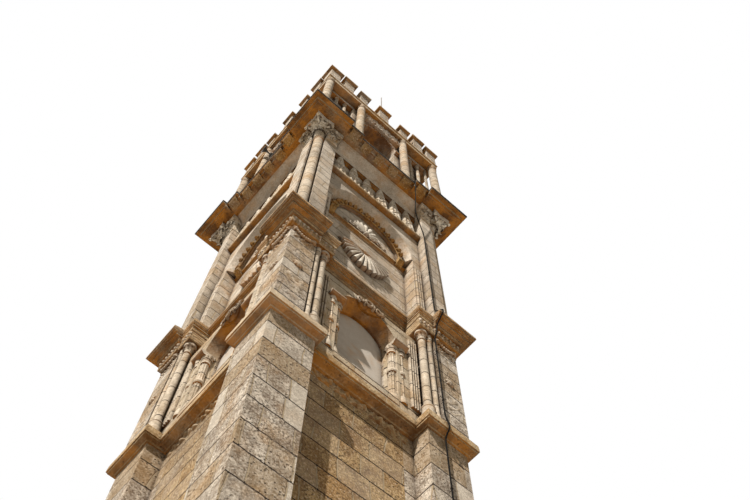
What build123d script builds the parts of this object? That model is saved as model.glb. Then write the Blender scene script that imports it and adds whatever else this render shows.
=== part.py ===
from build123d import *
import math
import os

os.makedirs("parts", exist_ok=True)

# Square stone bell tower in four stages, in millimetres, +Z up.
# The origin is the middle of the foot, on the ground. The front faces -Y.
# Every stage is symmetric, so each front piece is repeated on the other three sides.
# The stages stand on each other, so each level is worked out from the one below.

# Foot
plinth_height = 900
plinth_half = 1640
plinth_chamfer = 90

# Hollow shaft
hollow_half = 700

# Stage one, plain shaft between corner piers
shaft_height = 9080
shaft_wall_face = 1235
shaft_pier_face = 1505
shaft_pier_inner = 863

# Lower string course
lower_course_height = 220
lower_edge = 1621
lower_recess_edge = 1395
lower_return = 787

# Stage two, blind arched windows
window_stage_height = 2300
window_wall_face = 1190
window_pier_face = 1548
window_pier_inner = 1110
window_frame_face = 1385
window_frame_half = 900
window_frame_margin = 100
window_arch_outer = 520
window_arch_inner = 450
window_leg_height = 1330
window_splay_rise = 60
window_infill_set_back = 40
window_infill_depth = 180
window_sill_height = 170
window_sill_projection = 8
window_sill_lip_drop = 130
jamb_shaft_radius = 62
jamb_shaft_stand_in = 45
jamb_shaft_forward = 20
jamb_shaft_rise = 60
jamb_base_height = 90
jamb_capital_height = 190
colonnette_x = 933
colonnette_y = 1477
colonnette_radius = 60
colonnette_base_height = 330
colonnette_capital_height = 250

# Middle string course
middle_course_height = 560
middle_edge = 1810
middle_step_edge = 1650
middle_recess_edge = 1390
middle_return = 1055
middle_second_return = 765

# Stage three, arched recesses between pilasters and corner columns
arcade_height = 5340
arcade_wall_face = 1195
arcade_strip_face = 1440
arcade_recess_half = 948
pilaster_inner = 1134
pilaster_outer = 1411
pilaster_face = 1615
corner_column_centre = 1473
corner_column_radius = 105
corner_column_gap = 20
impost_rise = 2240
impost_height = 120
impost_projection = 50
impost_fillet = 45
tympanum_projection = 25
recess_arch_radius = 925
recess_arch_stilt = 60
recess_cove_width = 100
recess_cove_rise = 140
hood_ring_width = 70
hood_ring_projection = 90
ledge_rise = 155
ledge_height = 110
ledge_face = 1545
ledge_nose = 50
frieze_wall_face = 1400
pendant_count = 6
pendant_pitch = 352
pendant_width = 300
pendant_waist_share = 0.8
pendant_top_share = 0.36
pendant_point_face = 1530
pendant_edge_set_back = 20
frieze_cove_drop = 420
frieze_cove_foot_face = 1470
frieze_cove_top_face = 1665
pilaster_top_rise = 950
capital_spread = 1817
shell_hinge_rise = 1520
shell_rib_length = 530
shell_rib_count = 13
shell_fan_angle = 150
shell_projection = 110

# Main cornice
cornice_height = 260
cornice_edge = 2100
cornice_step_edge = 2000
cornice_recess_edge = 1930
cornice_step_bed = 1750
cornice_recess_bed = 1700
cornice_return = 1085
cornice_second_return = 735
cornice_bed_margin = 8
floor_half = 950

# Stage four, open belfry
belfry_height = 3790
belfry_wall_face = 1600
belfry_wall_thickness = 400
belfry_arch_radius = 480
belfry_arch_leg = 2390
belfry_sill_height = 300
belfry_bay_centre = 1210
belfry_bay_half = 340
belfry_bay_depth = 130
belfry_bay_head = 220
middle_column_x = 690
middle_column_y = 1720
middle_column_radius = 100
belfry_corner_centre = 1712
belfry_corner_radius = 105
belfry_column_gap = 11
belfry_base_height = 250
belfry_capital_height = 220
baluster_radius = 58
baluster_spacing = 250

# Parapet
parapet_course_height = 300
string_edge = 1830
string_inner = 1400
roof_thickness = 260
merlon_thickness = 300
merlon_face = 1810
cap_height = 230
cap_overhang = 70
cap_neck = 60
cap_slope = 90
centre_merlon_width = 290
centre_merlon_height = 1150
side_merlon_centre = 690
side_merlon_width = 230
side_merlon_height = 940
outer_merlon_centre = 1190
outer_merlon_width = 290
outer_merlon_height = 1150
corner_merlon_width = 300
corner_merlon_height = 1050

# Lightning rod and its conductor
rod_radius = 14
rod_height = 2300
rod_set_back = 110
rod_foot_radius = 60
rod_foot_height = 90
rod_collar_radius = 30
rod_collar_height = 60
conductor_radius = 11
conductor_x = 1096
conductor_gap = 41
conductor_clear = 14
conductor_hang_x = 722
conductor_release = 100
conductor_swing = 130
conductor_sag_rise = 140
conductor_bend_share = 0.45
clip_height = 24
clip_half_width = 16
clip_reach = 78
clip_fit = 0.3
clip_shares_low = (0.07, 0.23, 0.4, 0.56, 0.73, 0.89)
clip_shares_middle = (0.22, 0.78)
clip_shares_high = (0.12, 0.31, 0.5)

# Horn loudspeaker on the left side of the belfry
horn_y = 530
horn_drop = 690
horn_mouth_radius = 120
horn_throat_radius = 24
horn_length = 190
horn_driver_radius = 52
horn_driver_length = 80
horn_flare = 14
horn_lip = 8
horn_wall = 5
horn_arm_length = 70
horn_arm_half = 18
horn_plate_half = 60
horn_plate_thickness = 10

joint = 1.0
side_names = ("front", "right", "back", "left")
upright = (Align.CENTER, Align.CENTER, Align.MIN)

# Levels, from the ground up
shaft_top = plinth_height + shaft_height
lower_seat = shaft_top + lower_course_height
window_sill = lower_seat + window_sill_height
window_spring = window_sill + window_leg_height
window_frame_top = window_spring + window_splay_rise + window_arch_outer + window_frame_margin
window_top = lower_seat + window_stage_height
middle_seat = window_top + middle_course_height
impost_bottom = middle_seat + impost_rise
impost_top = impost_bottom + impost_height
recess_spring = impost_top + recess_arch_stilt
recess_outer_spring = recess_spring + recess_cove_rise
ledge_bottom = recess_outer_spring + recess_arch_radius + ledge_rise
ledge_top = ledge_bottom + ledge_height
pilaster_top = ledge_top + pilaster_top_rise
arcade_top = middle_seat + arcade_height
cornice_seat = arcade_top + cornice_height
belfry_sill = cornice_seat + belfry_sill_height
belfry_spring = belfry_sill + belfry_arch_leg
belfry_top = cornice_seat + belfry_height
belfry_bay_top = belfry_top - belfry_bay_head
string_top = belfry_top + parapet_course_height

# Depths worked out from the faces above
window_infill_face = window_wall_face - window_infill_set_back
impost_face = arcade_wall_face + impost_projection
tympanum_face = arcade_wall_face + tympanum_projection
belfry_inner = belfry_wall_face - belfry_wall_thickness


def block(x0, x1, y0, y1, z0, z1):
    """A rectangular block between two corners."""
    size = (x1 - x0, y1 - y0, z1 - z0)
    middle = ((x0 + x1) / 2, (y0 + y1) / 2, (z0 + z1) / 2)
    return Pos(*middle) * Box(*size)


def turned(shape, side):
    """The front shape carried round to another side, each side a quarter turn."""
    return Rot(0, 0, 90 * side) * shape


def mirrored_pair(shape):
    """A shape and its mirror image across the middle of the front."""
    return [shape, mirror(shape, about=Plane.YZ)]


def all_sides(shapes):
    """Front shapes repeated on the four sides."""
    return [turned(shape, side) for side in range(4) for shape in shapes]


def save(name, shapes):
    """Write one node. Several like pieces share a node as separate solids."""
    solids = [solid for shape in shapes for solid in shape.solids()]
    model = Compound(children=solids) if len(solids) > 1 else solids[0]
    export_step(model, "parts/" + name + ".step")


def prism(points, z0, z1):
    """A plan outline carried straight up from one height to another."""
    with BuildSketch(Plane.XY.offset(z0)) as plan:
        with BuildLine():
            Polyline(*points, close=True)
        make_face()
    return extrude(plan.sketch, amount=z1 - z0)


def corner_plan(steps):
    """Plan of the near corner pier. Steps are (along, face) pairs from the hollow to the corner."""
    other = [(face, along) for along, face in reversed(steps)]
    outline = steps + [point for point in other if point not in steps]
    return [(-x, -y) for x, y in outline]


def stepped_ring_plan(edge, steps):
    """Closed plan of a moulding that breaks back from the piers, all four sides alike.

    Each step is a (return, face) pair, from the pier towards the middle of the side."""
    half = []
    face = edge
    for inner_end, next_face in steps:
        half.append((inner_end, -face))
        half.append((inner_end, -next_face))
        face = next_face
    front = [(-x, y) for x, y in half] + half[::-1] + [(edge, -edge)]
    points = []
    for side in range(4):
        for x, y in front:
            for _ in range(side):
                x, y = -y, x
            points.append((x, y))
    return points


def blend_plans(bed, edge, share):
    """Plan between the bed and the edge of a moulding: 0 at the bed, 1 at the edge."""
    return [
        (bx + (ex - bx) * share, by + (ey - by) * share)
        for (bx, by), (ex, ey) in zip(bed, edge)
    ]


def moulded_ring(bed, edge, profile, inner_half, bottom, height):
    """Loft a stepped ring through the levels of a profile, then open its square middle.

    The profile holds (out, up) shares: out from the bed to the edge, up from foot to top."""
    sections = []
    for out, up in profile:
        level = bottom + height * up
        corners = [Vector(x, y, level) for x, y in blend_plans(bed, edge, out)]
        sections.append(Wire.make_polygon(corners, close=True))
    ring = Solid.make_loft(sections, ruled=True)
    return ring - block(
        -inner_half, inner_half, -inner_half, inner_half, bottom - height, bottom + 2 * height
    )


def quarter_round(out0, up0, out1, up1, hollow, count=4):
    """Levels along a quarter curve between two corners of a moulding profile."""
    levels = []
    for index in range(count + 1):
        angle = math.pi / 2 * index / count
        across = 1 - math.cos(angle) if hollow else math.sin(angle)
        rise = math.sin(angle) if hollow else 1 - math.cos(angle)
        levels.append((out0 + (out1 - out0) * across, up0 + (up1 - up0) * rise))
    return levels


def arched_cutter(half_width, spring, bottom, y0, y1):
    """A round-headed opening cut through from one depth to another."""
    with BuildSketch(Plane.XZ.offset(-y1)) as face:
        with BuildLine():
            Line((-half_width, bottom), (half_width, bottom))
            Line((half_width, bottom), (half_width, spring))
            ThreePointArc((half_width, spring), (0, spring + half_width), (-half_width, spring))
            Line((-half_width, spring), (-half_width, bottom))
        make_face()
    return extrude(face.sketch, amount=y1 - y0)


def arch_ring(outer, inner, spring, y0, y1):
    """Half a ring that follows a round arch, from one depth to another."""
    with BuildSketch(Plane.XZ.offset(-y1)) as face:
        with BuildLine():
            ThreePointArc((outer, spring), (0, spring + outer), (-outer, spring))
            Line((-outer, spring), (-inner, spring))
            ThreePointArc((-inner, spring), (0, spring + inner), (inner, spring))
            Line((inner, spring), (outer, spring))
        make_face()
    return extrude(face.sketch, amount=y1 - y0)


def splayed_arch_cutter(outer, inner, bottom):
    """A round-headed opening that narrows inwards. Each end is (radius, spring, depth)."""
    faces = []
    for radius, spring, depth in (outer, inner):
        with BuildSketch(Plane.XZ.offset(-depth)) as face:
            with BuildLine():
                Line((-radius, bottom), (radius, bottom))
                Line((radius, bottom), (radius, spring))
                ThreePointArc((radius, spring), (0, spring + radius), (-radius, spring))
                Line((-radius, spring), (-radius, bottom))
            make_face()
        faces.append(face.sketch.face())
    return loft(faces, ruled=True)


def rounded_shaft(levels, x, y):
    """A round piece whose swelling mouldings are arcs. Levels are (radius, height, bulge)."""
    with BuildSketch(Plane.XZ) as half:
        with BuildLine():
            first = levels[0]
            Line((0, first[1]), (first[0], first[1]))
            for low, high in zip(levels, levels[1:]):
                if high[2] == 0:
                    Line((low[0], low[1]), (high[0], high[1]))
                else:
                    middle = ((low[0] + high[0]) / 2 + high[2], (low[1] + high[1]) / 2)
                    ThreePointArc((low[0], low[1]), middle, (high[0], high[1]))
            last = levels[-1]
            Line((last[0], last[1]), (0, last[1]))
            Line((0, last[1]), (0, first[1]))
        make_face()
    return Pos(x, y, 0) * revolve(half.sketch, axis=Axis.Z)


def make_plinth():
    """The chamfered foot that carries the shaft."""
    outer = block(-plinth_half, plinth_half, -plinth_half, plinth_half, 0, plinth_height)
    top_edges = outer.faces().sort_by(Axis.Z)[-1].edges()
    outer = chamfer(top_edges, plinth_chamfer)
    hollow = block(-hollow_half, hollow_half, -hollow_half, hollow_half, -10, plinth_height + 10)
    save("base_plinth", [outer - hollow])


def make_shaft():
    """Stage one: four plain walls between four corner piers."""
    wall = block(-hollow_half, hollow_half, -shaft_wall_face, -hollow_half, plinth_height, shaft_top)
    for side, name in enumerate(side_names):
        save("shaft_wall_" + name, [turned(wall, side)])
    plan = corner_plan([
        (hollow_half, hollow_half),
        (hollow_half, shaft_wall_face),
        (shaft_pier_inner, shaft_wall_face),
        (shaft_pier_inner, shaft_pier_face),
        (shaft_pier_face, shaft_pier_face),
    ])
    save("shaft_piers", all_sides([prism(plan, plinth_height, shaft_top)]))


def make_lower_course():
    """The string course on top of stage one."""
    bed = stepped_ring_plan(shaft_pier_face, [(shaft_pier_inner, shaft_wall_face)])
    edge = stepped_ring_plan(lower_edge, [(lower_return, lower_recess_edge)])
    profile = [(0.0, 0.0), (0.18, 0.055)]
    profile += quarter_round(0.2, 0.09, 0.66, 0.236, True)
    profile += [(0.84, 0.264), (0.86, 0.364), (1.0, 0.418), (1.0, 0.673), (0.95, 1.0)]
    ring = moulded_ring(bed, edge, profile, hollow_half, shaft_top, lower_course_height)
    save("lower_string_course", [ring])


def make_window_stage():
    """Stage two: piers, walls with arched openings, frames, infill, shafts and colonnettes."""
    wall = block(-hollow_half, hollow_half, -window_wall_face, -hollow_half, lower_seat, window_top)
    opening = arched_cutter(
        window_arch_inner, window_spring, window_sill, -window_wall_face - joint, -hollow_half + joint
    )
    for side, name in enumerate(side_names):
        save("window_wall_" + name, [turned(wall - opening, side)])
    plan = corner_plan([
        (hollow_half, hollow_half),
        (hollow_half, window_wall_face),
        (window_pier_inner, window_wall_face),
        (window_pier_inner, window_pier_face),
        (window_pier_face, window_pier_face),
    ])
    save("window_piers", all_sides([prism(plan, lower_seat, window_top)]))

    frame = block(
        -window_frame_half, window_frame_half, -window_frame_face, -window_wall_face,
        lower_seat, window_frame_top,
    )
    splay = splayed_arch_cutter(
        (window_arch_outer, window_spring + window_splay_rise, -window_frame_face - joint),
        (window_arch_inner, window_spring, -window_wall_face + joint),
        window_sill,
    )
    lip = block(
        -window_arch_outer, window_arch_outer,
        -window_frame_face - window_sill_projection, -window_frame_face,
        window_sill - window_sill_lip_drop, window_sill,
    )
    frame = frame - splay + lip
    save("window_frames", all_sides([frame]))

    infill = arched_cutter(
        window_arch_inner - joint, window_spring, window_sill,
        -window_infill_face, -window_infill_face + window_infill_depth,
    )
    save("window_infills", all_sides([infill]))

    top = window_spring + jamb_shaft_rise
    neck = top - jamb_capital_height
    foot = window_sill + jamb_base_height
    levels = [
        (jamb_shaft_radius * 1.25, window_sill, 0),
        (jamb_shaft_radius * 1.25, foot, 0),
        (jamb_shaft_radius, foot + jamb_base_height * 0.45, 12),
        (jamb_shaft_radius * 0.94, neck, 0),
        (jamb_shaft_radius * 0.94, neck + jamb_capital_height * 0.16, 10),
        (jamb_shaft_radius * 1.35, top - jamb_capital_height * 0.26, -8),
        (jamb_shaft_radius * 1.35, top, 0),
    ]
    shaft = rounded_shaft(
        levels,
        window_arch_inner + jamb_shaft_stand_in,
        -(window_wall_face + window_frame_face) / 2 - jamb_shaft_forward,
    )
    save("window_jamb_shafts", all_sides(mirrored_pair(shaft - frame)))

    base = colonnette_base_height
    capital = colonnette_capital_height
    neck = window_top - capital
    levels = [
        (colonnette_radius * 1.5, lower_seat, 0),
        (colonnette_radius * 1.5, lower_seat + base * 0.73, 0),
        (colonnette_radius * 1.2, lower_seat + base * 0.88, 14),
        (colonnette_radius, lower_seat + base, 6),
        (colonnette_radius * 0.96, neck, 0),
        (colonnette_radius * 0.96, neck + capital * 0.14, 12),
        (colonnette_radius * 1.55, neck + capital * 0.76, -16),
        (colonnette_radius * 1.62, neck + capital * 0.8, 0),
        (colonnette_radius * 1.62, window_top, 0),
    ]
    colonnette = rounded_shaft(levels, colonnette_x, -colonnette_y)
    save("window_colonnettes", all_sides(mirrored_pair(colonnette)))


def make_middle_course():
    """The dentilled string course on top of stage two."""
    reach = colonnette_radius * 1.7
    bed = stepped_ring_plan(window_pier_face, [
        (window_pier_inner, colonnette_y + reach),
        (colonnette_x - reach, window_wall_face),
    ])
    edge = stepped_ring_plan(middle_edge, [
        (middle_return, middle_step_edge),
        (middle_second_return, middle_recess_edge),
    ])
    profile = [(0.0, 0.0), (0.1, 0.018)]
    profile += quarter_round(0.12, 0.036, 0.24, 0.107, False)
    profile += [(0.24, 0.429), (0.34, 0.439)]
    profile += quarter_round(0.38, 0.482, 0.6, 0.625, True)
    profile += [(0.66, 0.636), (0.68, 0.696), (0.8, 0.707)]
    profile += quarter_round(0.82, 0.736, 0.96, 0.807, False)
    profile += [(1.0, 0.818), (1.0, 0.893), (0.7, 1.0)]
    ring = moulded_ring(bed, edge, profile, hollow_half, window_top, middle_course_height)
    save("middle_string_course", [ring])


def arcade_pier():
    """Corner pier of stage three with its strips, pilasters and the hollow for its column."""
    core = [(hollow_half, hollow_half), (hollow_half, arcade_wall_face)]
    lower = corner_plan(core + [
        (arcade_recess_half, arcade_wall_face),
        (arcade_recess_half, arcade_strip_face),
        (pilaster_inner, arcade_strip_face),
        (pilaster_inner, pilaster_face),
        (pilaster_outer, pilaster_face),
        (pilaster_outer, pilaster_outer),
    ])
    middle = corner_plan(core + [
        (pilaster_inner, arcade_wall_face),
        (pilaster_inner, pilaster_face),
        (pilaster_outer, pilaster_face),
        (pilaster_outer, pilaster_outer),
    ])
    upper = corner_plan(core + [
        (pilaster_inner, arcade_wall_face),
        (pilaster_inner, pilaster_inner),
    ])
    pier = prism(lower, middle_seat, ledge_bottom)
    pier += prism(middle, ledge_bottom, pilaster_top)
    pier += prism(upper, pilaster_top, arcade_top)
    centre = -corner_column_centre
    height = pilaster_top - middle_seat
    socket = Cylinder(corner_column_radius + corner_column_gap, height, align=upright)
    return pier - Pos(centre, centre, middle_seat) * socket


def frieze_front():
    """The wall over the ledge, whose top coves out to carry the cornice."""
    foot = arcade_top - frieze_cove_drop
    middle_y = frieze_cove_foot_face + (frieze_cove_top_face - frieze_cove_foot_face) * 0.3
    middle_z = foot + frieze_cove_drop * 0.68
    with BuildSketch(Plane.YZ) as section:
        with BuildLine():
            Line((-arcade_wall_face, ledge_bottom), (-frieze_wall_face, ledge_bottom))
            Line((-frieze_wall_face, ledge_bottom), (-frieze_wall_face, foot))
            Line((-frieze_wall_face, foot), (-frieze_cove_foot_face, foot))
            ThreePointArc(
                (-frieze_cove_foot_face, foot), (-middle_y, middle_z),
                (-frieze_cove_top_face, arcade_top),
            )
            Line((-frieze_cove_top_face, arcade_top), (-arcade_wall_face, arcade_top))
            Line((-arcade_wall_face, arcade_top), (-arcade_wall_face, ledge_bottom))
        make_face()
    return extrude(section.sketch, amount=pilaster_inner, both=True)


def make_arcade_walls():
    """Stage three walls, which step out over the impost and again over the ledge."""
    wall = block(-hollow_half, hollow_half, -arcade_wall_face, -hollow_half, middle_seat, arcade_top)
    wall += block(
        -arcade_recess_half, arcade_recess_half, -tympanum_face, -arcade_wall_face,
        impost_top, ledge_bottom,
    )
    wall += frieze_front()
    for side, name in enumerate(side_names):
        save("arcade_wall_" + name, [turned(wall, side)])
    save("arcade_piers", all_sides([arcade_pier()]))


def make_arcade_bands():
    """Impost bands, spandrels over the arched recess, hood rings and the frieze ledge."""
    with BuildSketch(Plane.YZ) as section:
        with BuildLine():
            fillet_foot = impost_top - impost_fillet
            nose = -impost_face + impost_projection * 0.17
            toe = -arcade_wall_face - impost_projection * 0.2
            Line((-arcade_wall_face, impost_bottom), (-arcade_wall_face, impost_top))
            Line((-arcade_wall_face, impost_top), (-impost_face, impost_top))
            Line((-impost_face, impost_top), (-impost_face, fillet_foot))
            Line((-impost_face, fillet_foot), (nose, fillet_foot))
            RadiusArc((nose, fillet_foot), (toe, impost_bottom), impost_projection)
            Line((toe, impost_bottom), (-arcade_wall_face, impost_bottom))
        make_face()
    band = extrude(section.sketch, amount=arcade_recess_half, both=True)
    save("impost_bands", all_sides([band]))

    spandrel = block(
        -arcade_recess_half, arcade_recess_half, -arcade_strip_face, -tympanum_face,
        recess_spring, ledge_bottom,
    )
    cove_inner = recess_arch_radius - recess_cove_width
    arch = splayed_arch_cutter(
        (recess_arch_radius, recess_outer_spring, -arcade_strip_face - joint),
        (cove_inner, recess_spring, -tympanum_face + joint),
        impost_top,
    )
    save("arcade_spandrels", all_sides([spandrel - arch]))

    hood = arch_ring(
        cove_inner - joint, cove_inner - hood_ring_width, recess_spring,
        -tympanum_face - hood_ring_projection, -tympanum_face,
    )
    save("recess_hoods", all_sides([hood]))

    with BuildSketch(Plane.YZ) as section:
        with BuildLine():
            back = -frieze_wall_face
            front = -ledge_face
            inset = ledge_nose * 0.6
            bend = (front + inset * 0.3, ledge_bottom + ledge_nose * 0.42)
            Line((back, ledge_bottom), (front + inset, ledge_bottom))
            ThreePointArc((front + inset, ledge_bottom), bend, (front, ledge_bottom + ledge_nose))
            Line((front, ledge_bottom + ledge_nose), (front, ledge_top - ledge_height * 0.1))
            Line((front, ledge_top - ledge_height * 0.1), (back, ledge_top))
            Line((back, ledge_top), (back, ledge_bottom))
        make_face()
    ledge = extrude(section.sketch, amount=pilaster_inner, both=True)
    save("frieze_ledges", all_sides([ledge]))


def make_pendants():
    """Tapered brackets that stand in a row on the ledge and carry the cove of the frieze."""
    half = pendant_width / 2
    top = arcade_top - frieze_cove_drop
    levels = (
        (half, pendant_point_face, ledge_top),
        (half * pendant_waist_share, (pendant_point_face + frieze_cove_foot_face) / 2, (ledge_top + top) / 2),
        (half * pendant_top_share, frieze_cove_foot_face, top),
    )
    pendants = []
    for index in range(pendant_count):
        x = (index - (pendant_count - 1) / 2) * pendant_pitch
        sections = []
        for spread, point_face, level in levels:
            side_face = point_face - pendant_edge_set_back
            corners = [
                Vector(x - spread, -side_face, level),
                Vector(x, -point_face, level),
                Vector(x + spread, -side_face, level),
                Vector(x + spread, -frieze_wall_face, level),
                Vector(x - spread, -frieze_wall_face, level),
            ]
            sections.append(Wire.make_polygon(corners, close=True))
        pendants.append(Solid.make_loft(sections, ruled=True))
    save("frieze_pendants", all_sides(pendants))


def make_shells():
    """Scallop shell relief: fluted ribs that fan out from a hinge at the top."""
    hinge = middle_seat + shell_hinge_rise
    step = shell_fan_angle / (shell_rib_count - 1)
    ribs = []
    for index in range(shell_rib_count):
        angle = -shell_fan_angle / 2 + step * index
        length = shell_rib_length * (1.0 + 0.12 * math.cos(math.radians(2 * angle)))
        tip_radius = length * math.radians(step) * 0.52
        rib = Cone(tip_radius * 0.18, tip_radius, length, align=upright)
        rib += Pos(0, 0, length) * Sphere(tip_radius)
        ribs.append(Pos(0, -arcade_wall_face, hinge) * Rot(0, 180 + angle, 0) * rib)
    shell = ribs[0]
    for rib in ribs[1:]:
        shell += rib
    reach = shell_rib_length * 2
    front_half = block(
        -reach, reach, -arcade_wall_face - shell_projection, -arcade_wall_face,
        hinge - reach, hinge + reach,
    )
    save("shell_reliefs", all_sides([shell & front_half]))


def make_corner_columns():
    """Round columns in the corner hollows of stage three, and the capitals over the piers."""
    radius = corner_column_radius
    levels = [
        (radius, middle_seat, 0),
        (radius * 0.97, pilaster_top - radius * 0.86, 0),
        (radius * 0.97, pilaster_top - radius * 0.38, radius * 0.13),
        (radius, pilaster_top, 0),
    ]
    centre = -corner_column_centre
    save("corner_columns", all_sides([rounded_shaft(levels, centre, centre)]))

    height = arcade_top - pilaster_top
    spread = capital_spread - pilaster_face
    sections = []
    for inward, out, up in (
        (0, 0, 0), (0, 0.12, 0.23), (10, 0.4, 0.52), (40, 0.85, 0.73), (45, 1, 0.77), (45, 1, 1),
    ):
        inner = pilaster_inner - inward
        outer = pilaster_face + spread * out
        level = pilaster_top + height * up
        corners = [(-outer, -outer), (-inner, -outer), (-inner, -inner), (-outer, -inner)]
        sections.append(Wire.make_polygon([Vector(x, y, level) for x, y in corners], close=True))
    capital = Solid.make_loft(sections, ruled=True)
    behind = block(
        -pilaster_inner, pilaster_inner, -arcade_wall_face, pilaster_inner, pilaster_top, arcade_top
    )
    for taken in (behind, frieze_front()):
        capital = capital - taken - turned(taken, 3)
    save("corner_capitals", all_sides([capital]))


def make_main_cornice():
    """The deep cornice over stage three and the belfry floor inside it."""
    bed = stepped_ring_plan(capital_spread + cornice_bed_margin, [
        (cornice_return, cornice_step_bed),
        (cornice_second_return, cornice_recess_bed),
    ])
    edge = stepped_ring_plan(cornice_edge, [
        (cornice_return, cornice_step_edge),
        (cornice_second_return, cornice_recess_edge),
    ])
    profile = [(0.0, 0.0), (0.06, 0.023)]
    profile += quarter_round(0.1, 0.046, 0.42, 0.192, False)
    profile += [(0.58, 0.215)]
    profile += quarter_round(0.6, 0.254, 0.72, 0.515, True)
    profile += [(0.74, 0.538), (0.93, 0.562), (0.94, 0.615), (0.98, 0.646)]
    profile += [(1.0, 0.754), (1.0, 0.923), (0.92, 1.0)]
    save("main_cornice", [moulded_ring(bed, edge, profile, floor_half, arcade_top, cornice_height)])
    half = floor_half - joint
    save("belfry_floor", [block(-half, half, -half, half, arcade_top, cornice_seat)])


def belfry_bays():
    """The two shallow side bays of a belfry front, as cutting blocks."""
    bay = block(
        belfry_bay_centre - belfry_bay_half, belfry_bay_centre + belfry_bay_half,
        -belfry_wall_face - joint, -belfry_wall_face + belfry_bay_depth, belfry_sill, belfry_bay_top,
    )
    return mirrored_pair(bay)


def belfry_wall():
    """One belfry wall with its arched opening and the edges of its two blind side bays."""
    wall = block(
        -belfry_inner, belfry_inner, -belfry_wall_face, -belfry_inner, cornice_seat, belfry_top
    )
    wall -= arched_cutter(
        belfry_arch_radius, belfry_spring, belfry_sill,
        -belfry_wall_face - joint, -belfry_inner + joint,
    )
    for bay in belfry_bays():
        wall -= bay
    return wall


def baluster(x, y):
    """A turned baluster with a square-edged base and head and two long swellings."""
    radius = baluster_radius
    height = belfry_bay_top - belfry_sill
    levels = [
        (radius, belfry_sill, 0),
        (radius, belfry_sill + height * 0.025, 0),
        (radius * 0.6, belfry_sill + height * 0.037, 0),
        (radius * 0.55, belfry_sill + height * 0.45, radius * 0.31),
        (radius * 0.7, belfry_sill + height * 0.5, radius * 0.17),
        (radius * 0.55, belfry_sill + height * 0.55, 0),
        (radius * 0.6, belfry_sill + height * 0.963, radius * 0.31),
        (radius, belfry_sill + height * 0.975, 0),
        (radius, belfry_bay_top, 0),
    ]
    return rounded_shaft(levels, x, y)


def belfry_column(radius, x, y):
    """A round column with a moulded base and a small moulded capital."""
    base_top = cornice_seat + belfry_base_height
    neck = belfry_top - belfry_capital_height
    levels = [
        (radius * 1.08, cornice_seat, 0),
        (radius * 1.08, base_top - belfry_base_height * 0.24, 0),
        (radius, base_top, radius * 0.1),
        (radius * 0.98, neck, 0),
        (radius * 0.98, neck + belfry_capital_height * 0.18, radius * 0.12),
        (radius * 1.05, neck + belfry_capital_height * 0.68, -radius * 0.08),
        (radius * 1.1, neck + belfry_capital_height * 0.73, 0),
        (radius * 1.1, belfry_top, 0),
    ]
    return rounded_shaft(levels, x, y)


def make_belfry():
    """Stage four: walls, corner blocks, columns and balusters."""
    for side, name in enumerate(side_names):
        save("belfry_wall_" + name, [turned(belfry_wall(), side)])

    corner = block(
        -belfry_wall_face, -belfry_inner, -belfry_wall_face, -belfry_inner, cornice_seat, belfry_top
    )
    socket = Cylinder(belfry_corner_radius + belfry_column_gap, belfry_height, align=upright)
    centre = -belfry_corner_centre
    corner -= Pos(centre, centre, cornice_seat) * socket
    for bay in belfry_bays():
        corner = corner - bay - turned(bay, 3)
    save("belfry_corner_blocks", all_sides([corner]))

    balusters = []
    for offset in (-baluster_spacing / 2, baluster_spacing / 2):
        front_one = baluster(belfry_bay_centre + offset, -belfry_wall_face + belfry_bay_depth / 2)
        balusters += mirrored_pair(front_one)
    save("belfry_balusters", all_sides(balusters))

    front_column = belfry_column(middle_column_radius, middle_column_x, -middle_column_y)
    save("belfry_columns", all_sides(mirrored_pair(front_column)))
    save("belfry_corner_columns", all_sides([belfry_column(belfry_corner_radius, centre, centre)]))


def make_parapet():
    """The string course over the belfry, the roof slab, the merlons and their caps."""
    square = [(-1, -1), (1, -1), (1, 1), (-1, 1)]
    bed = [(x * belfry_wall_face, y * belfry_wall_face) for x, y in square]
    edge = [(x * string_edge, y * string_edge) for x, y in square]
    profile = [(0.9, 0.0), (0.9, 0.4)]
    profile += quarter_round(0.91, 0.433, 0.97, 0.633, True)
    profile += [(1.0, 0.667), (1.0, 0.9), (0.94, 1.0)]
    ring = moulded_ring(bed, edge, profile, string_inner, belfry_top, parapet_course_height)
    save("parapet_string_course", [ring])

    half = string_inner - joint
    roof = block(-half, half, -half, half, belfry_top, belfry_top + roof_thickness)
    save("roof_slab", [roof])

    rows = [
        (0, centre_merlon_width, centre_merlon_height),
        (side_merlon_centre, side_merlon_width, side_merlon_height),
        (-side_merlon_centre, side_merlon_width, side_merlon_height),
        (outer_merlon_centre, outer_merlon_width, outer_merlon_height),
        (-outer_merlon_centre, outer_merlon_width, outer_merlon_height),
        (corner_merlon_width / 2 - merlon_face, corner_merlon_width, corner_merlon_height),
    ]
    save("merlons", all_sides([merlon(*row) for row in rows]))
    save("merlon_caps", all_sides([merlon_cap(*row) for row in rows]))


def merlon(x, width, height):
    """One upright block of the parapet, up to the underside of its cap."""
    back = merlon_thickness - merlon_face
    return block(
        x - width / 2, x + width / 2, -merlon_face, back, string_top, string_top + height - cap_height
    )


def merlon_cap(x, width, height):
    """The moulded cap of a merlon: a flared neck, an upright edge and a low hipped top."""
    back = merlon_thickness - merlon_face
    top = string_top + height
    low = top - cap_height
    sections = []
    for spread, level in (
        (0, low), (cap_overhang * 0.4, low + cap_neck * 0.5), (cap_overhang, low + cap_neck),
        (cap_overhang, top - cap_slope), (-width * 0.1, top),
    ):
        x0 = x - width / 2 - spread
        x1 = x + width / 2 + spread
        y0 = -merlon_face - spread
        y1 = back + spread
        corners = [Vector(px, py, level) for px, py in ((x0, y0), (x1, y0), (x1, y1), (x0, y1))]
        sections.append(Wire.make_polygon(corners, close=True))
    return Solid.make_loft(sections, ruled=True)


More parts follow.
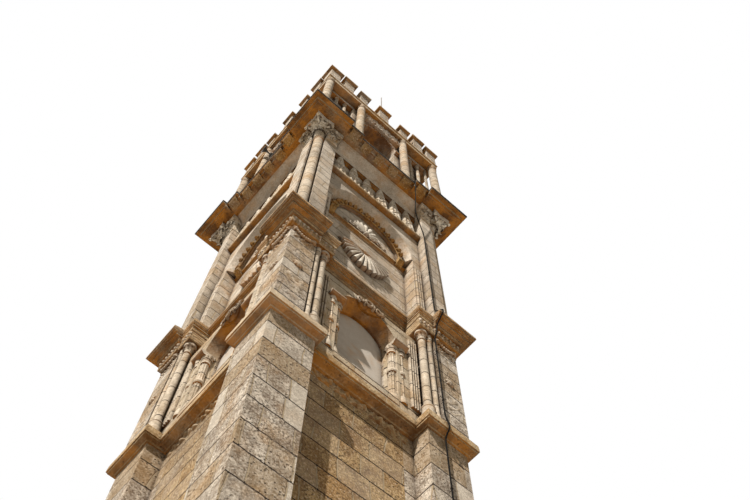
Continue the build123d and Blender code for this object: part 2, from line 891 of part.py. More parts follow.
def bent_wire(points, radius):
    """A round wire of straight runs joined by tangent arcs as large as the runs allow."""
    corners = [Vector(*point) for point in points]
    edges = []
    start = corners[0]
    for before, corner, after in zip(corners, corners[1:], corners[2:]):
        into = (corner - before).normalized()
        out = (after - corner).normalized()
        half_turn = math.radians(into.get_angle(out)) / 2
        shorter = min((corner - before).length, (after - corner).length)
        reach = shorter * conductor_bend_share
        bend = reach / math.tan(half_turn)
        arc_start = corner - into * reach
        arc_end = corner + out * reach
        towards = (out - into).normalized()
        arc_middle = corner + towards * (bend * (1 / math.cos(half_turn) - 1))
        edges.append(Edge.make_line(start, arc_start))
        edges.append(Edge.make_three_point_arc(arc_start, arc_middle, arc_end))
        start = arc_end
    edges.append(Edge.make_line(start, corners[-1]))
    first = (corners[1] - corners[0]).normalized()
    section = Plane(origin=corners[0], z_dir=first) * Circle(radius)
    return sweep(section, path=Wire(edges))


def make_lightning_protection():
    """Rod on the middle front merlon, and the wire that leads down the front."""
    foot = Cylinder(rod_foot_radius, rod_foot_height, align=upright)
    collar = Cylinder(rod_collar_radius, rod_collar_height, align=upright)
    rod = Cylinder(rod_radius, rod_height - rod_foot_height, align=upright)
    whole = foot + Pos(0, 0, rod_foot_height) * collar + Pos(0, 0, rod_foot_height) * rod
    rod_y = merlon_face - rod_set_back
    save("lightning_rod", [Pos(0, -rod_y, string_top + centre_merlon_height) * whole])

    x = conductor_x
    stand_off = conductor_gap + conductor_radius
    clear = conductor_radius + conductor_clear
    low_y = shaft_pier_face + stand_off
    middle_y = window_pier_face + stand_off
    high_y = pilaster_face + stand_off
    plinth_y = plinth_half + clear
    lower_y = lower_edge + clear
    bed_y = window_pier_face + (middle_edge - window_pier_face) * 0.24 + 2 * clear
    edge_y = middle_edge + clear
    hang_y = cornice_recess_edge + clear
    lie = cornice_seat + conductor_radius + joint
    clamp_y = cornice_recess_edge - 2 * clear
    points = [
        (x, -plinth_y, 0),
        (x, -plinth_y, plinth_height - plinth_chamfer),
        (x, -low_y, plinth_height + plinth_chamfer),
        (x, -low_y, shaft_top - 2 * clear),
        (x, -lower_y, shaft_top + lower_course_height * 0.32),
        (x, -lower_y, shaft_top + lower_course_height * 0.73),
        (x, -middle_y, lower_seat + lower_course_height * 0.64),
        (x, -middle_y, window_top - 3 * clear),
        (x, -bed_y, window_top + middle_course_height * 0.11),
        (x, -bed_y, window_top + middle_course_height * 0.4),
        (x, -edge_y, window_top + middle_course_height * 0.8),
        (x, -edge_y, window_top + middle_course_height * 0.92),
        (x, -high_y, middle_seat + 5 * clear),
        (x, -high_y, ledge_bottom - conductor_release),
        (conductor_hang_x + stand_off, -high_y - conductor_swing, ledge_top + conductor_sag_rise),
        (conductor_hang_x, -hang_y, arcade_top),
        (conductor_hang_x, -hang_y, lie),
        (conductor_hang_x, -clamp_y + clip_height, lie),
    ]
    save("lightning_conductor", [bent_wire(points, conductor_radius)])

    clips = []
    for face, foot, height, shares in (
        (shaft_pier_face, plinth_height, shaft_height, clip_shares_low),
        (window_pier_face, lower_seat, window_stage_height, clip_shares_middle),
        (pilaster_face, middle_seat, arcade_height, clip_shares_high),
    ):
        for share in shares:
            level = foot + height * share
            clip = block(
                x - clip_half_width, x + clip_reach,
                -face - stand_off - clip_half_width, -face, level, level + clip_height,
            )
            bore = Pos(x, -face - stand_off, level) * Cylinder(
                conductor_radius + clip_fit, clip_height * 3
            )
            clips.append(clip - bore)
    clamp = block(
        conductor_hang_x - clip_half_width, conductor_hang_x + clip_half_width,
        -clamp_y, -clamp_y + clip_height, cornice_seat, lie + clip_half_width,
    )
    bore = Pos(conductor_hang_x, -clamp_y, lie) * Rot(90, 0, 0) * Cylinder(
        conductor_radius + clip_fit, clip_height * 3
    )
    clips.append(clamp - bore)
    save("conductor_clips", clips)


def make_horn():
    """Flared horn on an arm and a wall plate; it looks out from the left side."""
    mouth = horn_driver_length + horn_length
    flare = (horn_throat_radius + horn_flare, horn_driver_length + horn_length * 0.6)
    inner_flare = (flare[0] - horn_wall, flare[1])
    with BuildSketch(Plane.XZ) as half:
        with BuildLine():
            Line((0, 0), (horn_driver_radius, 0))
            Line((horn_driver_radius, 0), (horn_driver_radius, horn_driver_length))
            Line((horn_driver_radius, horn_driver_length), (horn_throat_radius, horn_driver_length))
            ThreePointArc(
                (horn_throat_radius, horn_driver_length), flare, (horn_mouth_radius, mouth)
            )
            Line((horn_mouth_radius, mouth), (horn_mouth_radius, mouth + horn_lip))
            Line((horn_mouth_radius, mouth + horn_lip), (horn_mouth_radius - horn_wall, mouth + horn_lip))
            ThreePointArc(
                (horn_mouth_radius - horn_wall, mouth + horn_lip), inner_flare,
                (horn_throat_radius - horn_wall, horn_driver_length + horn_wall),
            )
            Line(
                (horn_throat_radius - horn_wall, horn_driver_length + horn_wall),
                (0, horn_driver_length + horn_wall),
            )
            Line((0, horn_driver_length + horn_wall), (0, 0))
        make_face()
    horn = revolve(half.sketch, axis=Axis.Z)
    arm = block(-horn_arm_half, horn_arm_half, -horn_arm_half, horn_arm_half, -horn_arm_length, joint)
    plate = block(
        -horn_plate_half, horn_plate_half, -horn_plate_half, horn_plate_half,
        -horn_arm_length, -horn_arm_length + horn_plate_thickness,
    )
    whole = Rot(0, -90, 0) * (horn + arm + plate)
    place = Pos(-belfry_wall_face - horn_arm_length, horn_y, belfry_top - horn_drop)
    save("horn_loudspeaker", [place * whole])


make_plinth()
make_shaft()
make_lower_course()
make_window_stage()
make_middle_course()
make_arcade_walls()
make_arcade_bands()
make_pendants()
make_shells()
make_corner_columns()
make_main_cornice()
make_belfry()
make_parapet()
make_lightning_protection()
make_horn()
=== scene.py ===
import math

import bmesh
import bpy
import numpy as np
from bpy.props import FloatProperty, FloatVectorProperty, IntProperty, PointerProperty
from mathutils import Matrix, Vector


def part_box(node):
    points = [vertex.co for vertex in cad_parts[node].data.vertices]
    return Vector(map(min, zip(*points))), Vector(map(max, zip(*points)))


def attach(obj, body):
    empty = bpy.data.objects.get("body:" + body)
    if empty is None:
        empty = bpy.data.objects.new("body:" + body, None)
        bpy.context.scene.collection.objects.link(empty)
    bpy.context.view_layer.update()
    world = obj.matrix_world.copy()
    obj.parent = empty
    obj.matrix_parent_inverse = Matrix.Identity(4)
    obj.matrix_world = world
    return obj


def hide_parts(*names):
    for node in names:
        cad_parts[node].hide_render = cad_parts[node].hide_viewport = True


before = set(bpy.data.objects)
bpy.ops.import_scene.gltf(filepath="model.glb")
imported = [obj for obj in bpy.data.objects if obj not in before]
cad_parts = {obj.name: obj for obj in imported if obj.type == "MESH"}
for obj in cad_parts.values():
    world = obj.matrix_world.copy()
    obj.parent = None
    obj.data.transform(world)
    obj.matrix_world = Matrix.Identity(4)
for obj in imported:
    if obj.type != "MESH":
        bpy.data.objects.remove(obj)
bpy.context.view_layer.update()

bl_info = {
    "name": "Stone bell tower",
    "version": (1, 0, 0),
    "blender": (4, 5, 0),
    "location": "View3D > Sidebar > Bell tower",
    "description": "Dresses the bell tower's frame with carved and weathered limestone",
    "category": "Object",
}

# Levels in metres, read from the frame
SHAFT_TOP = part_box("shaft_piers")[1][2]
WINDOW_FOOT, WINDOW_TOP = (corner[2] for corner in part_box("window_piers"))
SILL_TOP, SHAFT_HEAD = (corner[2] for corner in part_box("window_jamb_shafts"))
FRAME_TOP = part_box("window_frames")[1][2]
MIDDLE_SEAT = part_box("middle_string_course")[1][2]
SHELL_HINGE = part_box("shell_reliefs")[1][2]
IMPOST_FOOT, IMPOST_TOP = (corner[2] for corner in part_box("impost_bands"))
HOOD_FOOT, HOOD_TOP = (corner[2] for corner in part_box("recess_hoods"))
LEDGE_TOP, BRACKET_TOP = (corner[2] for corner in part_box("frieze_pendants"))
CAPITAL_FOOT, CAPITAL_TOP = (corner[2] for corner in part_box("corner_capitals"))
CORNICE_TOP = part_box("main_cornice")[1][2]
BELFRY_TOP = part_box("belfry_corner_blocks")[1][2]

# Distances of the faces from the tower's middle, and half widths, in metres
SHAFT_WALL = 1.235
WINDOW_FRAME = 1.385
WINDOW_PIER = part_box("window_piers")[1][0]
ARCADE_WALL = 1.195
TYMPANUM = 1.22
HOOD_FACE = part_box("recess_hoods")[1][0]
STRIP_FACE = 1.44
STRIP_INNER = 0.948
PILASTER_INNER = 1.134
PILASTER_OUTER = 1.411
PILASTER_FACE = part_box("arcade_piers")[1][0]
CORNER_COLUMN = 1.473
CAPITAL_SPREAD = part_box("corner_capitals")[1][0]
FRIEZE_WALL = 1.4
BRACKET_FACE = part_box("frieze_pendants")[1][0]
COVE_FOOT = 1.47
COVE_TOP = 1.665
COVE_DROP = 0.42
BELFRY_WALL = 1.6
BELFRY_ARCH_RADIUS = 0.48
BELFRY_ARCH_SPRING = BELFRY_TOP - 1.1

# Axes of the upright shafts as (across, out), in metres
JAMB_SHAFT = (0.495, 1.3075)
FRAME_SHAFT = (0.61, WINDOW_FRAME - 0.04)
PIER_ROLL = (1.05, 1.5)
COLONNETTE = (0.933, 1.477)

# The bays of a moulding's front as (half width from, half width to, face)
MIDDLE_COURSE_BAYS = ((0.0, 0.745, 1.238), (0.79, 1.03, 1.596), (1.075, 1.6, 1.611))
CORNICE_BAYS = ((0.0, 0.735, 1.93), (0.75, 1.085, 2.0))

# How deep a carving is let into the wall behind it, in metres
LET_IN = 0.01

# The level of one joint between two courses, in mm
SHAFT_JOINT_MM = 9682
WINDOW_JOINT_MM = 11388
HEAD_JOINT_MM = 11760
ARCADE_JOINT_MM = 13060
BELFRY_JOINT_MM = 18660

# Noises of the stone as (repeats in a metre, detail, roughness)
STAINS = (0.9, 4.0, 0.6)  # grey stains 1100 mm wide
PATCHES = (4.5, 8.0, 0.7)  # worn patches 220 mm wide
GRAIN = (34.0, 6.0, 0.75)  # grain of 30 mm
PATINA = (1.9, 6.0, 0.65)  # ochre areas 530 mm wide
DRIFT = (0.55, 1.0, 0.6)  # upright joints wander over 1800 mm
CHIPS = (9.0, 5.0, 0.7)  # the edges of blocks chip over 110 mm
PITS_PER_METRE = 21.0  # pits 48 mm apart

# The sun and the camera: places in metres, turns in degrees
SUN_TURN = (39.0, 0.0, -63.4)
SUN_WIDTH = 0.6
CAMERA_PLACE = (-3.225, -5.306, 1.6)
CAMERA_TURN = (158.5139, -0.3058, -41.1401)


# Colours, nodes and materials

def linear(hex_code):
    """The linear RGBA of an sRGB hex colour: each channel c becomes ((c + 0.055) / 1.055) ** 2.4."""
    channels = np.array([int(hex_code[i:i + 2], 16) / 255 for i in (1, 3, 5)])
    bright = ((channels + 0.055) / 1.055) ** 2.4
    return (*np.where(channels <= 0.04045, channels / 12.92, bright).tolist(), 1.0)


def node(tree, kind, values=None, **settings):
    """Adds one shader node: settings are its attributes, and values its inputs, each a plain value, a
    socket to link, or a node whose first output is linked."""
    made = tree.nodes.new("ShaderNode" + kind)
    for name, value in settings.items():
        setattr(made, name, value)
    for key, value in (values or {}).items():
        if isinstance(value, bpy.types.Node):
            value = value.outputs[0]
        if isinstance(value, bpy.types.NodeSocket):
            tree.links.new(value, made.inputs[key])
        else:
            made.inputs[key].default_value = value
    return made


def coat(tree, under, tint, strength, *masks):
    """One colour, a socket or a hex code, laid over another. Each mask is (source, start, full),
    and scales the strength from nothing at its start to all of it where the source is full."""
    under, tint = (linear(colour) if isinstance(colour, str) else colour for colour in (under, tint))
    for source, start, full in masks:
        strength = node(tree, "MapRange", {
            "Value": source, "From Min": start, "From Max": full, "To Max": strength})
    return node(tree, "Mix", {0: strength, 6: under, 7: tint}, data_type="RGBA").outputs[2]


def new_material(name, roughness, specular, metallic=0.0):
    """A material with an empty surface: its tree, its shader and the object coordinates."""
    material = bpy.data.materials.new(name)
    material.use_nodes = True
    tree = material.node_tree
    shader = tree.nodes["Principled BSDF"]
    shader.inputs["Roughness"].default_value = roughness
    shader.inputs["Metallic"].default_value = metallic
    shader.inputs["Specular IOR Level"].default_value = specular
    place = node(tree, "TexCoord").outputs["Object"]
    return material, tree, shader, place


def stone(name, light, dark, course_mm=0, block_mm=0, joint_mm=0, relief_mm=4.0, wear=0.5,
          variety=0.5, underside_stain_and_bounce=0.9, painted_shadow_band=None):
    """Weathered limestone: blocks of uneven tone with dark open joints, an ochre patina, a golden
    brown on every surface that looks down, partly stain and partly painted warm bounce light and
    shade, painted shade in its crevices, grey growth on ledges, and a pitted skin with darkened pits.
    One joint lies at the level joint_mm, and painted_shadow_band is a black band of painted shade
    between two levels."""
    material, tree, shader, place = new_material(name, 0.93, 0.2)
    up = node(tree, "SeparateXYZ", {0: place}).outputs[2]
    normal = node(tree, "NewGeometry").outputs["True Normal"]
    facing_up = node(tree, "SeparateXYZ", {0: normal}).outputs[2]
    stains, patches, grain, patina, drift, chips = (
        node(tree, "TexNoise", {"Vector": place, "Scale": scale, "Detail": detail, "Roughness": rough})
        for scale, detail, rough in (STAINS, PATCHES, GRAIN, PATINA, DRIFT, CHIPS))
    pits = node(tree, "TexVoronoi", {"Vector": place, "Scale": PITS_PER_METRE})

    colour = dark
    for tint, strength, source, start, full in (
            (light, 1.0, patches, 0.4, 0.6), ("#b98e55", 0.55, patina, 0.5, 0.66),
            ("#8e8375", 0.5, stains, 0.5, 0.33), ("#5f4c36", wear, grain, 0.52, 0.36),
            ("#efe6d8", wear, grain, 0.55, 0.7)):
        colour = coat(tree, colour, tint, strength, (source, start, full))
    worn = node(tree, "MapRange", {
        "Value": patches, "From Min": 0.4, "From Max": 0.62, "To Min": 0.1, "To Max": wear + 0.1})
    height = node(tree, "Math", {0: grain, 1: 0.6}, operation="MULTIPLY")
    height = node(tree, "Math", {0: patches, 1: 1.6, 2: height}, operation="MULTIPLY_ADD")

    if course_mm:
        # Blocks run along x on the front and back and along y on the sides
        course = course_mm / 1000
        run = 2.5
        if block_mm:
            reach = node(tree, "VectorMath", {0: place}, operation="ABSOLUTE")
            reach = node(tree, "SeparateXYZ", {0: reach})
            front = node(tree, "Math", {0: reach.outputs[0], 1: reach.outputs[1]}, operation="LESS_THAN")
            way = node(tree, "Mix", {0: front, 4: (0.6, 1.0, 0.0), 5: (1.0, 0.6, 0.0)},
                       data_type="VECTOR").outputs[1]
            run = node(tree, "VectorMath", {0: place, 1: way}, operation="DOT_PRODUCT")
            run = node(tree, "Math", {0: drift, 1: 0.5, 2: run.outputs["Value"]},
                       operation="MULTIPLY_ADD")
        rise = node(tree, "Math", {0: up, 1: joint_mm / 1000}, operation="SUBTRACT")
        wall = node(tree, "CombineXYZ", {0: run, 1: rise})
        shift = node(tree, "VectorMath", {0: chips.outputs["Color"], 1: (0.5, 0.5, 0.5)},
                     operation="SUBTRACT")
        wall = node(tree, "VectorMath", {0: shift, 1: (0.03, 0.03, 0.03), 2: wall},
                    operation="MULTIPLY_ADD")
        bricks = node(tree, "TexBrick", {
            "Vector": wall, "Color1": (0.0, 0.0, 0.0, 1.0), "Color2": (1.0, 1.0, 1.0, 1.0),
            "Mortar": (0.5, 0.5, 0.5, 1.0), "Scale": 1.0, "Mortar Size": 0.01, "Mortar Smooth": 0.4,
            "Brick Width": (block_mm or 10000) / 1000, "Row Height": course,
        }, offset=0.43, offset_frequency=2, squash=0.72, squash_frequency=3)
        tone, gap = bricks.outputs["Color"], bricks.outputs["Fac"]
        colour = coat(tree, colour, "#e3dacb", variety, (tone, 0.6, 0.95))
        colour = coat(tree, colour, "#a58a63", variety, (tone, 0.42, 0.1))
        worn = node(tree, "MapRange", {"Value": tone, "From Min": 0.95, "From Max": 0.2, "To Max": worn})

        # Lying joints are open and dark, upright ones are full of pale mortar
        level = node(tree, "SeparateXYZ", {0: wall}).outputs[1]
        away = node(tree, "Math", {0: level, 1: course / 2}, operation="PINGPONG")
        far, near = 0.06 * course, 0.035 * course
        joint = coat(tree, "#b7a58a", "#2b2017", 1.0, (away, far, near))
        colour = coat(tree, colour, joint, gap, (patches, 0.3, 0.45))
        depth = node(tree, "MapRange", {
            "Value": away, "From Min": far, "From Max": near, "To Min": -0.9, "To Max": -1.9})
        height = node(tree, "Math", {0: gap, 1: depth, 2: height}, operation="MULTIPLY_ADD")

    pit = node(tree, "MapRange", {"Value": pits, "From Min": 0.3, "From Max": 0.08, "To Max": worn})
    height = node(tree, "Math", {0: pit, 1: -3.0, 2: height}, operation="MULTIPLY_ADD")
    # Painted shade: ambient occlusion darkens crevices, hollows and undercuts in the base colour
    painted_crevice_shade = node(tree, "AmbientOcclusion", {"Distance": 0.1}, samples=4).outputs["AO"]
    colour = coat(tree, colour, "#3b2814", 0.9, (painted_crevice_shade, 0.85, 0.35))
    # Surfaces facing down turn golden brown: partly a real stain, partly painted warm bounce light and
    # painted shade
    brown = coat(tree, "#5e360c", "#a66817", 1.0, (patina, 0.42, 0.58))
    colour = coat(tree, colour, brown, underside_stain_and_bounce, (facing_up, -0.1, -0.7), (stains, 0.15, 0.45))
    colour = coat(tree, colour, "#544a3f", 0.75, (facing_up, 0.3, 0.9), (patches, 0.3, 0.55))
    # Painted shade: a black band between two levels stands for the shadow line along the cornice's top
    # edge
    if painted_shadow_band:
        low, high = painted_shadow_band
        colour = coat(tree, colour, "#2b231b", 1.0, (up, low - 0.004, low),
                      (up, high + 0.004, high), (patches, 0.3, 0.42))
    # The pits are darkened in the colour
    pit_darkening = node(tree, "Math", {0: pit, 1: 0.75}, operation="MULTIPLY")
    colour = coat(tree, colour, "#4a3a29", pit_darkening)
    bump = node(tree, "Bump", {"Height": height, "Distance": relief_mm / 1000})
    tree.links.new(colour, shader.inputs["Base Color"])
    tree.links.new(bump.outputs[0], shader.inputs["Normal"])
    return material


def metal(name, base, worn, roughness, metallic):
    """Painted or bare metal left outdoors: an even coat that dulls in patches 55 mm wide."""
    material, tree, shader, place = new_material(name, roughness, 0.1, metallic)
    patch = node(tree, "TexNoise", {"Vector": place, "Scale": 18.0, "Detail": 5.0})
    tree.links.new(coat(tree, base, worn, patch), shader.inputs["Base Color"])
    return material


MATERIALS = {}


def materials():
    """Every finish of the tower, made once."""
    if MATERIALS:
        return MATERIALS
    pale, shade = "#ded3c4", "#9a8d7f"
    MATERIALS.update({
        # sawn blocks, laid with thin joints that rain has opened
        "shaft": stone("limestone ashlar, tall courses", "#c7a97c", "#8a6d4a", 340, 450,
                       SHAFT_JOINT_MM, relief_mm=22.0, wear=1.0, variety=0.15),
        "pier": stone("limestone ashlar, corner piers", pale, shade, 378, 390, SHAFT_JOINT_MM,
                      relief_mm=20.0, wear=1.0),
        "window": stone("limestone ashlar, low courses", pale, shade, 252, 400, WINDOW_JOINT_MM,
                        relief_mm=17.0, wear=0.9, variety=0.4),
        "arcade": stone("limestone ashlar, middle courses", "#dacfc0", "#b0a494", 300, 620,
                        ARCADE_JOINT_MM, relief_mm=8.0, variety=0.25, underside_stain_and_bounce=0.2),
        "belfry": stone("limestone ashlar, belfry", pale, shade, 290, 520, BELFRY_JOINT_MM,
                        relief_mm=10.0, wear=0.7, variety=0.3),
        # round drums, turned and stacked
        "column": stone("limestone drums", "#dacdba", "#b0a18c", 350, 0, ARCADE_JOINT_MM,
                        relief_mm=7.0, variety=0.2),
        # cut with chisels and drills, its hollows and undersides darkened by painted shade
        "carved": stone("carved limestone", "#ddd1c0", "#aa9b86", relief_mm=10.0, wear=0.6,
                        underside_stain_and_bounce=0.5),
        # the whitest blocks, washed by rain
        "washed": stone("washed carved limestone", "#f3ecdf", "#cabfae", relief_mm=8.0, underside_stain_and_bounce=0.6),
        # drilled deep, so pale leaves stand over black holes
        "drilled": stone("drilled limestone capitals", "#f2eadc", "#b8a78d", relief_mm=10.0,
                         wear=0.7, underside_stain_and_bounce=0.1),
        # dressed flat, golden under the arch
        "frame": stone("dressed limestone frames", "#d2c3ab", "#a8987f", 470, 520, HEAD_JOINT_MM,
                       relief_mm=7.0, variety=0.2),
        # cut with chisels, golden brown: partly a patina, partly painted warm bounce light where it lies
        # in shade
        "golden_stain_and_bounce": stone("stained carved limestone with painted bounce light", "#b8965c", "#745428", relief_mm=8.0, wear=0.8,
                        underside_stain_and_bounce=0.35),
        # scraped to a template in one long course, with upright joints only
        "moulding": stone("moulded limestone", "#d2bc98", "#9c7d54", 30000, 800, relief_mm=9.0,
                          wear=0.6, variety=0.3, underside_stain_and_bounce=0.75),
        # cut in many small steps, with a dark line every 62 mm along them
        "stepped": stone("stepped limestone moulding", "#d2b890", "#9a7346", 62, 0,
                         WINDOW_JOINT_MM, relief_mm=9.0, wear=0.6, variety=0.1, underside_stain_and_bounce=0.75),
        # scraped to a template, with a black band of painted shade along the upper edge
        "cornice": stone("moulded limestone with a black edge", "#c9b798", "#937c5c", 30000, 460,
                         relief_mm=9.0, wear=0.6, variety=0.3,
                         painted_shadow_band=(CORNICE_TOP - 0.098, CORNICE_TOP - 0.02)),
        # scraped in one sheet, its joints pointed flush
        "smooth": stone("limestone coving", "#dacfc0", "#bdb1a1", relief_mm=6.0, wear=0.4,
                        underside_stain_and_bounce=0.2),
        # painted shade: dark brown-black for the shadowed hollows between the brackets' tops
        "painted_shade": stone("sooty limestone", "#6a4d2c", "#3b2814", relief_mm=6.0, wear=0.3),
        # trowelled smooth
        "plaster": stone("lime plaster infill", "#c6bfb6", "#bdb5ab", relief_mm=1.0, wear=0.05),
        # laid flat and rained on, so grey
        "roof": stone("limestone paving", "#b7a88f", "#95866e"),
        # drawn and left bare, so brown with dull highlights
        "rod": metal("bronze rod", "#3c352b", "#5a5040", 0.5, 0.8),
        # stranded and tarred, so black and matt
        "wire": metal("tarred conductor", "#0c0b0a", "#1a1714", 0.95, 0.0),
        # forged and rusted, so brown and matt
        "clip": metal("iron clips", "#1c1815", "#3a2b1e", 0.9, 0.0),
        # pressed and sprayed, with a faint sheen
        "horn": metal("painted steel horn", "#4b4b4c", "#626160", 0.5, 0.0),
    })
    return MATERIALS


# The nodes of the frame that take each finish; the others are carved
NODE_FINISH = {name: finish for finish, names in {
    "pier": "base_plinth shaft_piers", "shaft": "shaft_wall", "window": "window_wall window_piers",
    "frame": "window_frames", "plaster": "window_infills",
    "column": "window_colonnettes corner_columns belfry_columns belfry_corner_columns",
    "arcade": "arcade_wall arcade_piers", "smooth": "arcade_spandrels",
    "belfry": "belfry_wall belfry_corner_blocks merlons", "roof": "roof_slab belfry_floor",
    "moulding": "merlon_caps lower_string_course parapet_string_course frieze_ledges impost_bands",
    "stepped": "middle_string_course", "cornice": "main_cornice", "rod": "lightning_rod",
    "wire": "lightning_conductor", "clip": "conductor_clips", "horn": "horn_loudspeaker",
}.items() for name in names.split()}


# Surfaces. A point is (across, out, up), where out is the distance from the tower's middle.

def points(across, out, up):
    """The three coordinates as one array of points, each stretched to the others' shape."""
    return np.stack(np.broadcast_arrays(across, out, up), axis=-1).astype(float)


def rows(start, end, count):
    """Evenly spaced numbers, one to a row."""
    return np.linspace(start, end, count)[:, None]


def skin(sheet):
    """A sheet of points in rows, with the quads between neighbouring rows and columns."""
    corner = np.arange(sheet.shape[0] * sheet.shape[1]).reshape(sheet.shape[:2])
    quads = np.stack([corner[:-1, :-1], corner[:-1, 1:], corner[1:, 1:], corner[1:, :-1]], axis=-1)
    return sheet.reshape(-1, 3), quads.reshape(-1, 4)


def relief(across, out, up, wall):
    """A closed carving let into a wall: the carved sheet, a rim behind the wall's face, and a
    flat rear."""
    front = np.pad(points(across, out, up), ((1, 1), (1, 1), (0, 0)), mode="edge")
    rear = front.copy()
    rear[..., 1] = wall - LET_IN
    rim = np.ones(front.shape[:2], dtype=bool)
    rim[1:-1, 1:-1] = False
    front[rim] = rear[rim]
    return [skin(front), skin(rear)]


def loft(across, out, up):
    """A closed body through rows of closed rings, with each end ring gathered to its middle."""
    rings = points(across, out, up)
    ends = rings[[0, -1], :-1].mean(axis=1, keepdims=True)
    ends = np.broadcast_to(ends, (2, *rings.shape[1:]))
    return [skin(np.concatenate([ends[:1], rings, ends[1:]]))]


def tube(across, out, up, radius, normal=(0, 1, 0), around=8):
    """A round bead along a path: at each point a circle square to the path's direction."""
    path = points(across, out, up)
    along = np.gradient(path, axis=0)
    side = np.cross(along, normal)
    side /= np.linalg.norm(side, axis=1, keepdims=True)
    rise = np.cross(side, along)
    rise /= np.linalg.norm(rise, axis=1, keepdims=True)
    turn = rows(0, 2 * np.pi, around + 1)
    reach = np.broadcast_to(radius, len(path))[:, None, None]
    rings = path[:, None] + reach * (np.cos(turn) * side[:, None] + np.sin(turn) * rise[:, None])
    return loft(*np.moveaxis(rings, -1, 0))


def spiral(x, z, face, size, turns=1.3, hand=1, start=0.0):
    """A volute: radius and thickness shrink evenly with the turn, and its eye stands forward."""
    share = np.linspace(0, 1, 26)
    angle = start + share * turns * 2 * np.pi
    radius = size * (1 - 0.82 * share)
    return tube(x + hand * radius * np.cos(angle), face + size * 0.35 * share,
                z + radius * np.sin(angle), size * 0.24 * (1.15 - 0.55 * share), around=7)


def boss(x, z, face, radius, height, petals=0, wave=0.0, rings=6, around=16, squeeze=1.0):
    """A round knob on a wall: an elliptic dome whose edge is waved into petals."""
    share = rows(0, np.pi / 2, rings)
    turn = np.linspace(0, 2 * np.pi, around + 1)
    reach = radius * np.cos(share) * (1 + wave * np.cos(petals * turn))
    return loft(x + squeeze * reach * np.cos(turn), face + height * np.sin(share),
                z + reach * np.sin(turn))


def lathe(radii, levels, x, out, flutes=0, depth=0.0, around=32):
    """A turned body: a radius for each level, with flutes cut by a cosine round its edge."""
    turn = np.linspace(0, 2 * np.pi, around + 1)
    radii, levels = (np.asarray(row, dtype=float)[:, None] for row in (radii, levels))
    reach = radii * (1 - np.asarray(depth).reshape(-1, 1) * (0.5 - 0.5 * np.cos(flutes * turn)))
    return loft(x + reach * np.cos(turn), out + reach * np.sin(turn), levels)


def shelf(outline, out, up, x0, x1):
    """A moulded block: an outline of points from the seat (out, up), carried from x0 to x1."""
    outline = np.array([*outline, outline[0]]) + (out, up)
    ends = np.array([x0, x1], dtype=float)[:, None]
    return loft(ends, outline[:, 0], outline[:, 1])


def leaf(x, out, z, angle, height, width, lean, curl):
    """A curled leaf: it climbs by a sine and then drops, leans out by the fourth power of its
    length, and its cupped half width is waved into four lobes. Angle turns it about the upright."""
    share = rows(0, 1, 15)
    v = np.linspace(-1, 1, 9)
    half = width * (0.6 + 0.4 * np.sin(np.pi * share)) * (1 - 0.7 * share ** 6)
    half = half * (1 + 0.16 * np.cos(8 * np.pi * share))
    front = lean * share + curl * share ** 4 - 0.35 * half * v ** 2
    front = front + 0.1 * width * np.cos(3 * np.pi * v)
    rear = front - 0.3 * width * (1 - v ** 2) * np.sin(np.pi * share) ** 0.4
    side = half * v
    along, away = math.cos(angle), math.sin(angle)
    return [skin(points(x + side * along - depth * away, out + side * away + depth * along,
                        z + height * np.sin(1.95 * share))) for depth in (front, rear)]


def leaf_ring(x, out, radius, z, angles, *sizes):
    """Leaves round an upright axis, each turned to face away from it."""
    skins = []
    for angle in angles:
        skins += leaf(x - radius * math.sin(angle), out + radius * math.cos(angle), z, angle, *sizes)
    return skins


def eroded_patch(x0, x1, z0, z1, face, depth, beat, columns=44, lines=50):
    """Worn foliage: lumps from two crossed cosine waves, fading out toward the patch's edge.
    Its low parts lie just under the wall's face."""
    x = np.linspace(x0, x1, columns)
    z = rows(z0, z1, lines)
    lumps = np.cos(beat * x + 3 * np.sin(9 * z)) * np.cos(beat * 0.9 * z + 2 * np.sin(11 * x))
    fade = np.clip(8 * (x - x0) * (x1 - x) / (x1 - x0) ** 2, 0, 1)
    fade = fade * np.clip(8 * (z - z0) * (z1 - z) / (z1 - z0) ** 2, 0, 1)
    sunk = 0.004
    rise = (depth + sunk) * fade * np.clip(0.45 + 0.65 * lumps, 0, 1)
    return relief(x, face - sunk + rise, z, face)


def mirrored(skins):
    """The skins and their mirror images across the middle of the front."""
    return skins + [(places * (-1, 1, 1), quads) for places, quads in skins]


def repeated(skins, count, pitch):
    """A row of copies of the skins, evenly spaced about the middle of the front."""
    shifts = (np.arange(count) - (count - 1) / 2) * pitch
    return [(places + (shift, 0, 0), quads) for shift in shifts for places, quads in skins]


def spaced(start, end, pitch):
    """Places evenly spaced between two ends, as near to the pitch as fits."""
    count = max(1, round((end - start) / pitch))
    return start + (np.arange(count) + 0.5) * (end - start) / count


def carve(name, skins, finish="carved", nodes=(), sides=4):
    """One piece from skins drawn for the front: turned onto each side, welded and faced outward."""
    across, out, up = np.concatenate([part[0] for part in skins]).T
    starts = np.cumsum([0] + [len(part[0]) for part in skins[:-1]])
    quads = np.concatenate([part[1] + start for part, start in zip(skins, starts)])
    turned = (points(across, -out, up), points(out, across, up),
              points(-across, out, up), points(-out, -across, up))
    faces = np.concatenate([quads + side * len(up) for side in range(sides)])
    mesh = bpy.data.meshes.new(name)
    mesh.from_pydata(np.concatenate(turned[:sides]).tolist(), [], faces.tolist())
    shape = bmesh.new()
    shape.from_mesh(mesh)
    bmesh.ops.remove_doubles(shape, verts=shape.verts, dist=1e-5)
    bmesh.ops.recalc_face_normals(shape, faces=shape.faces)
    shape.to_mesh(mesh)
    shape.free()
    mesh.shade_smooth()
    mesh.set_sharp_from_angle(angle=math.radians(50))
    mesh.materials.append(materials()[finish])
    made = bpy.data.objects.new(name, mesh)
    bpy.context.scene.collection.objects.link(made)
    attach(made, "root")
    if nodes:
        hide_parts(*nodes)


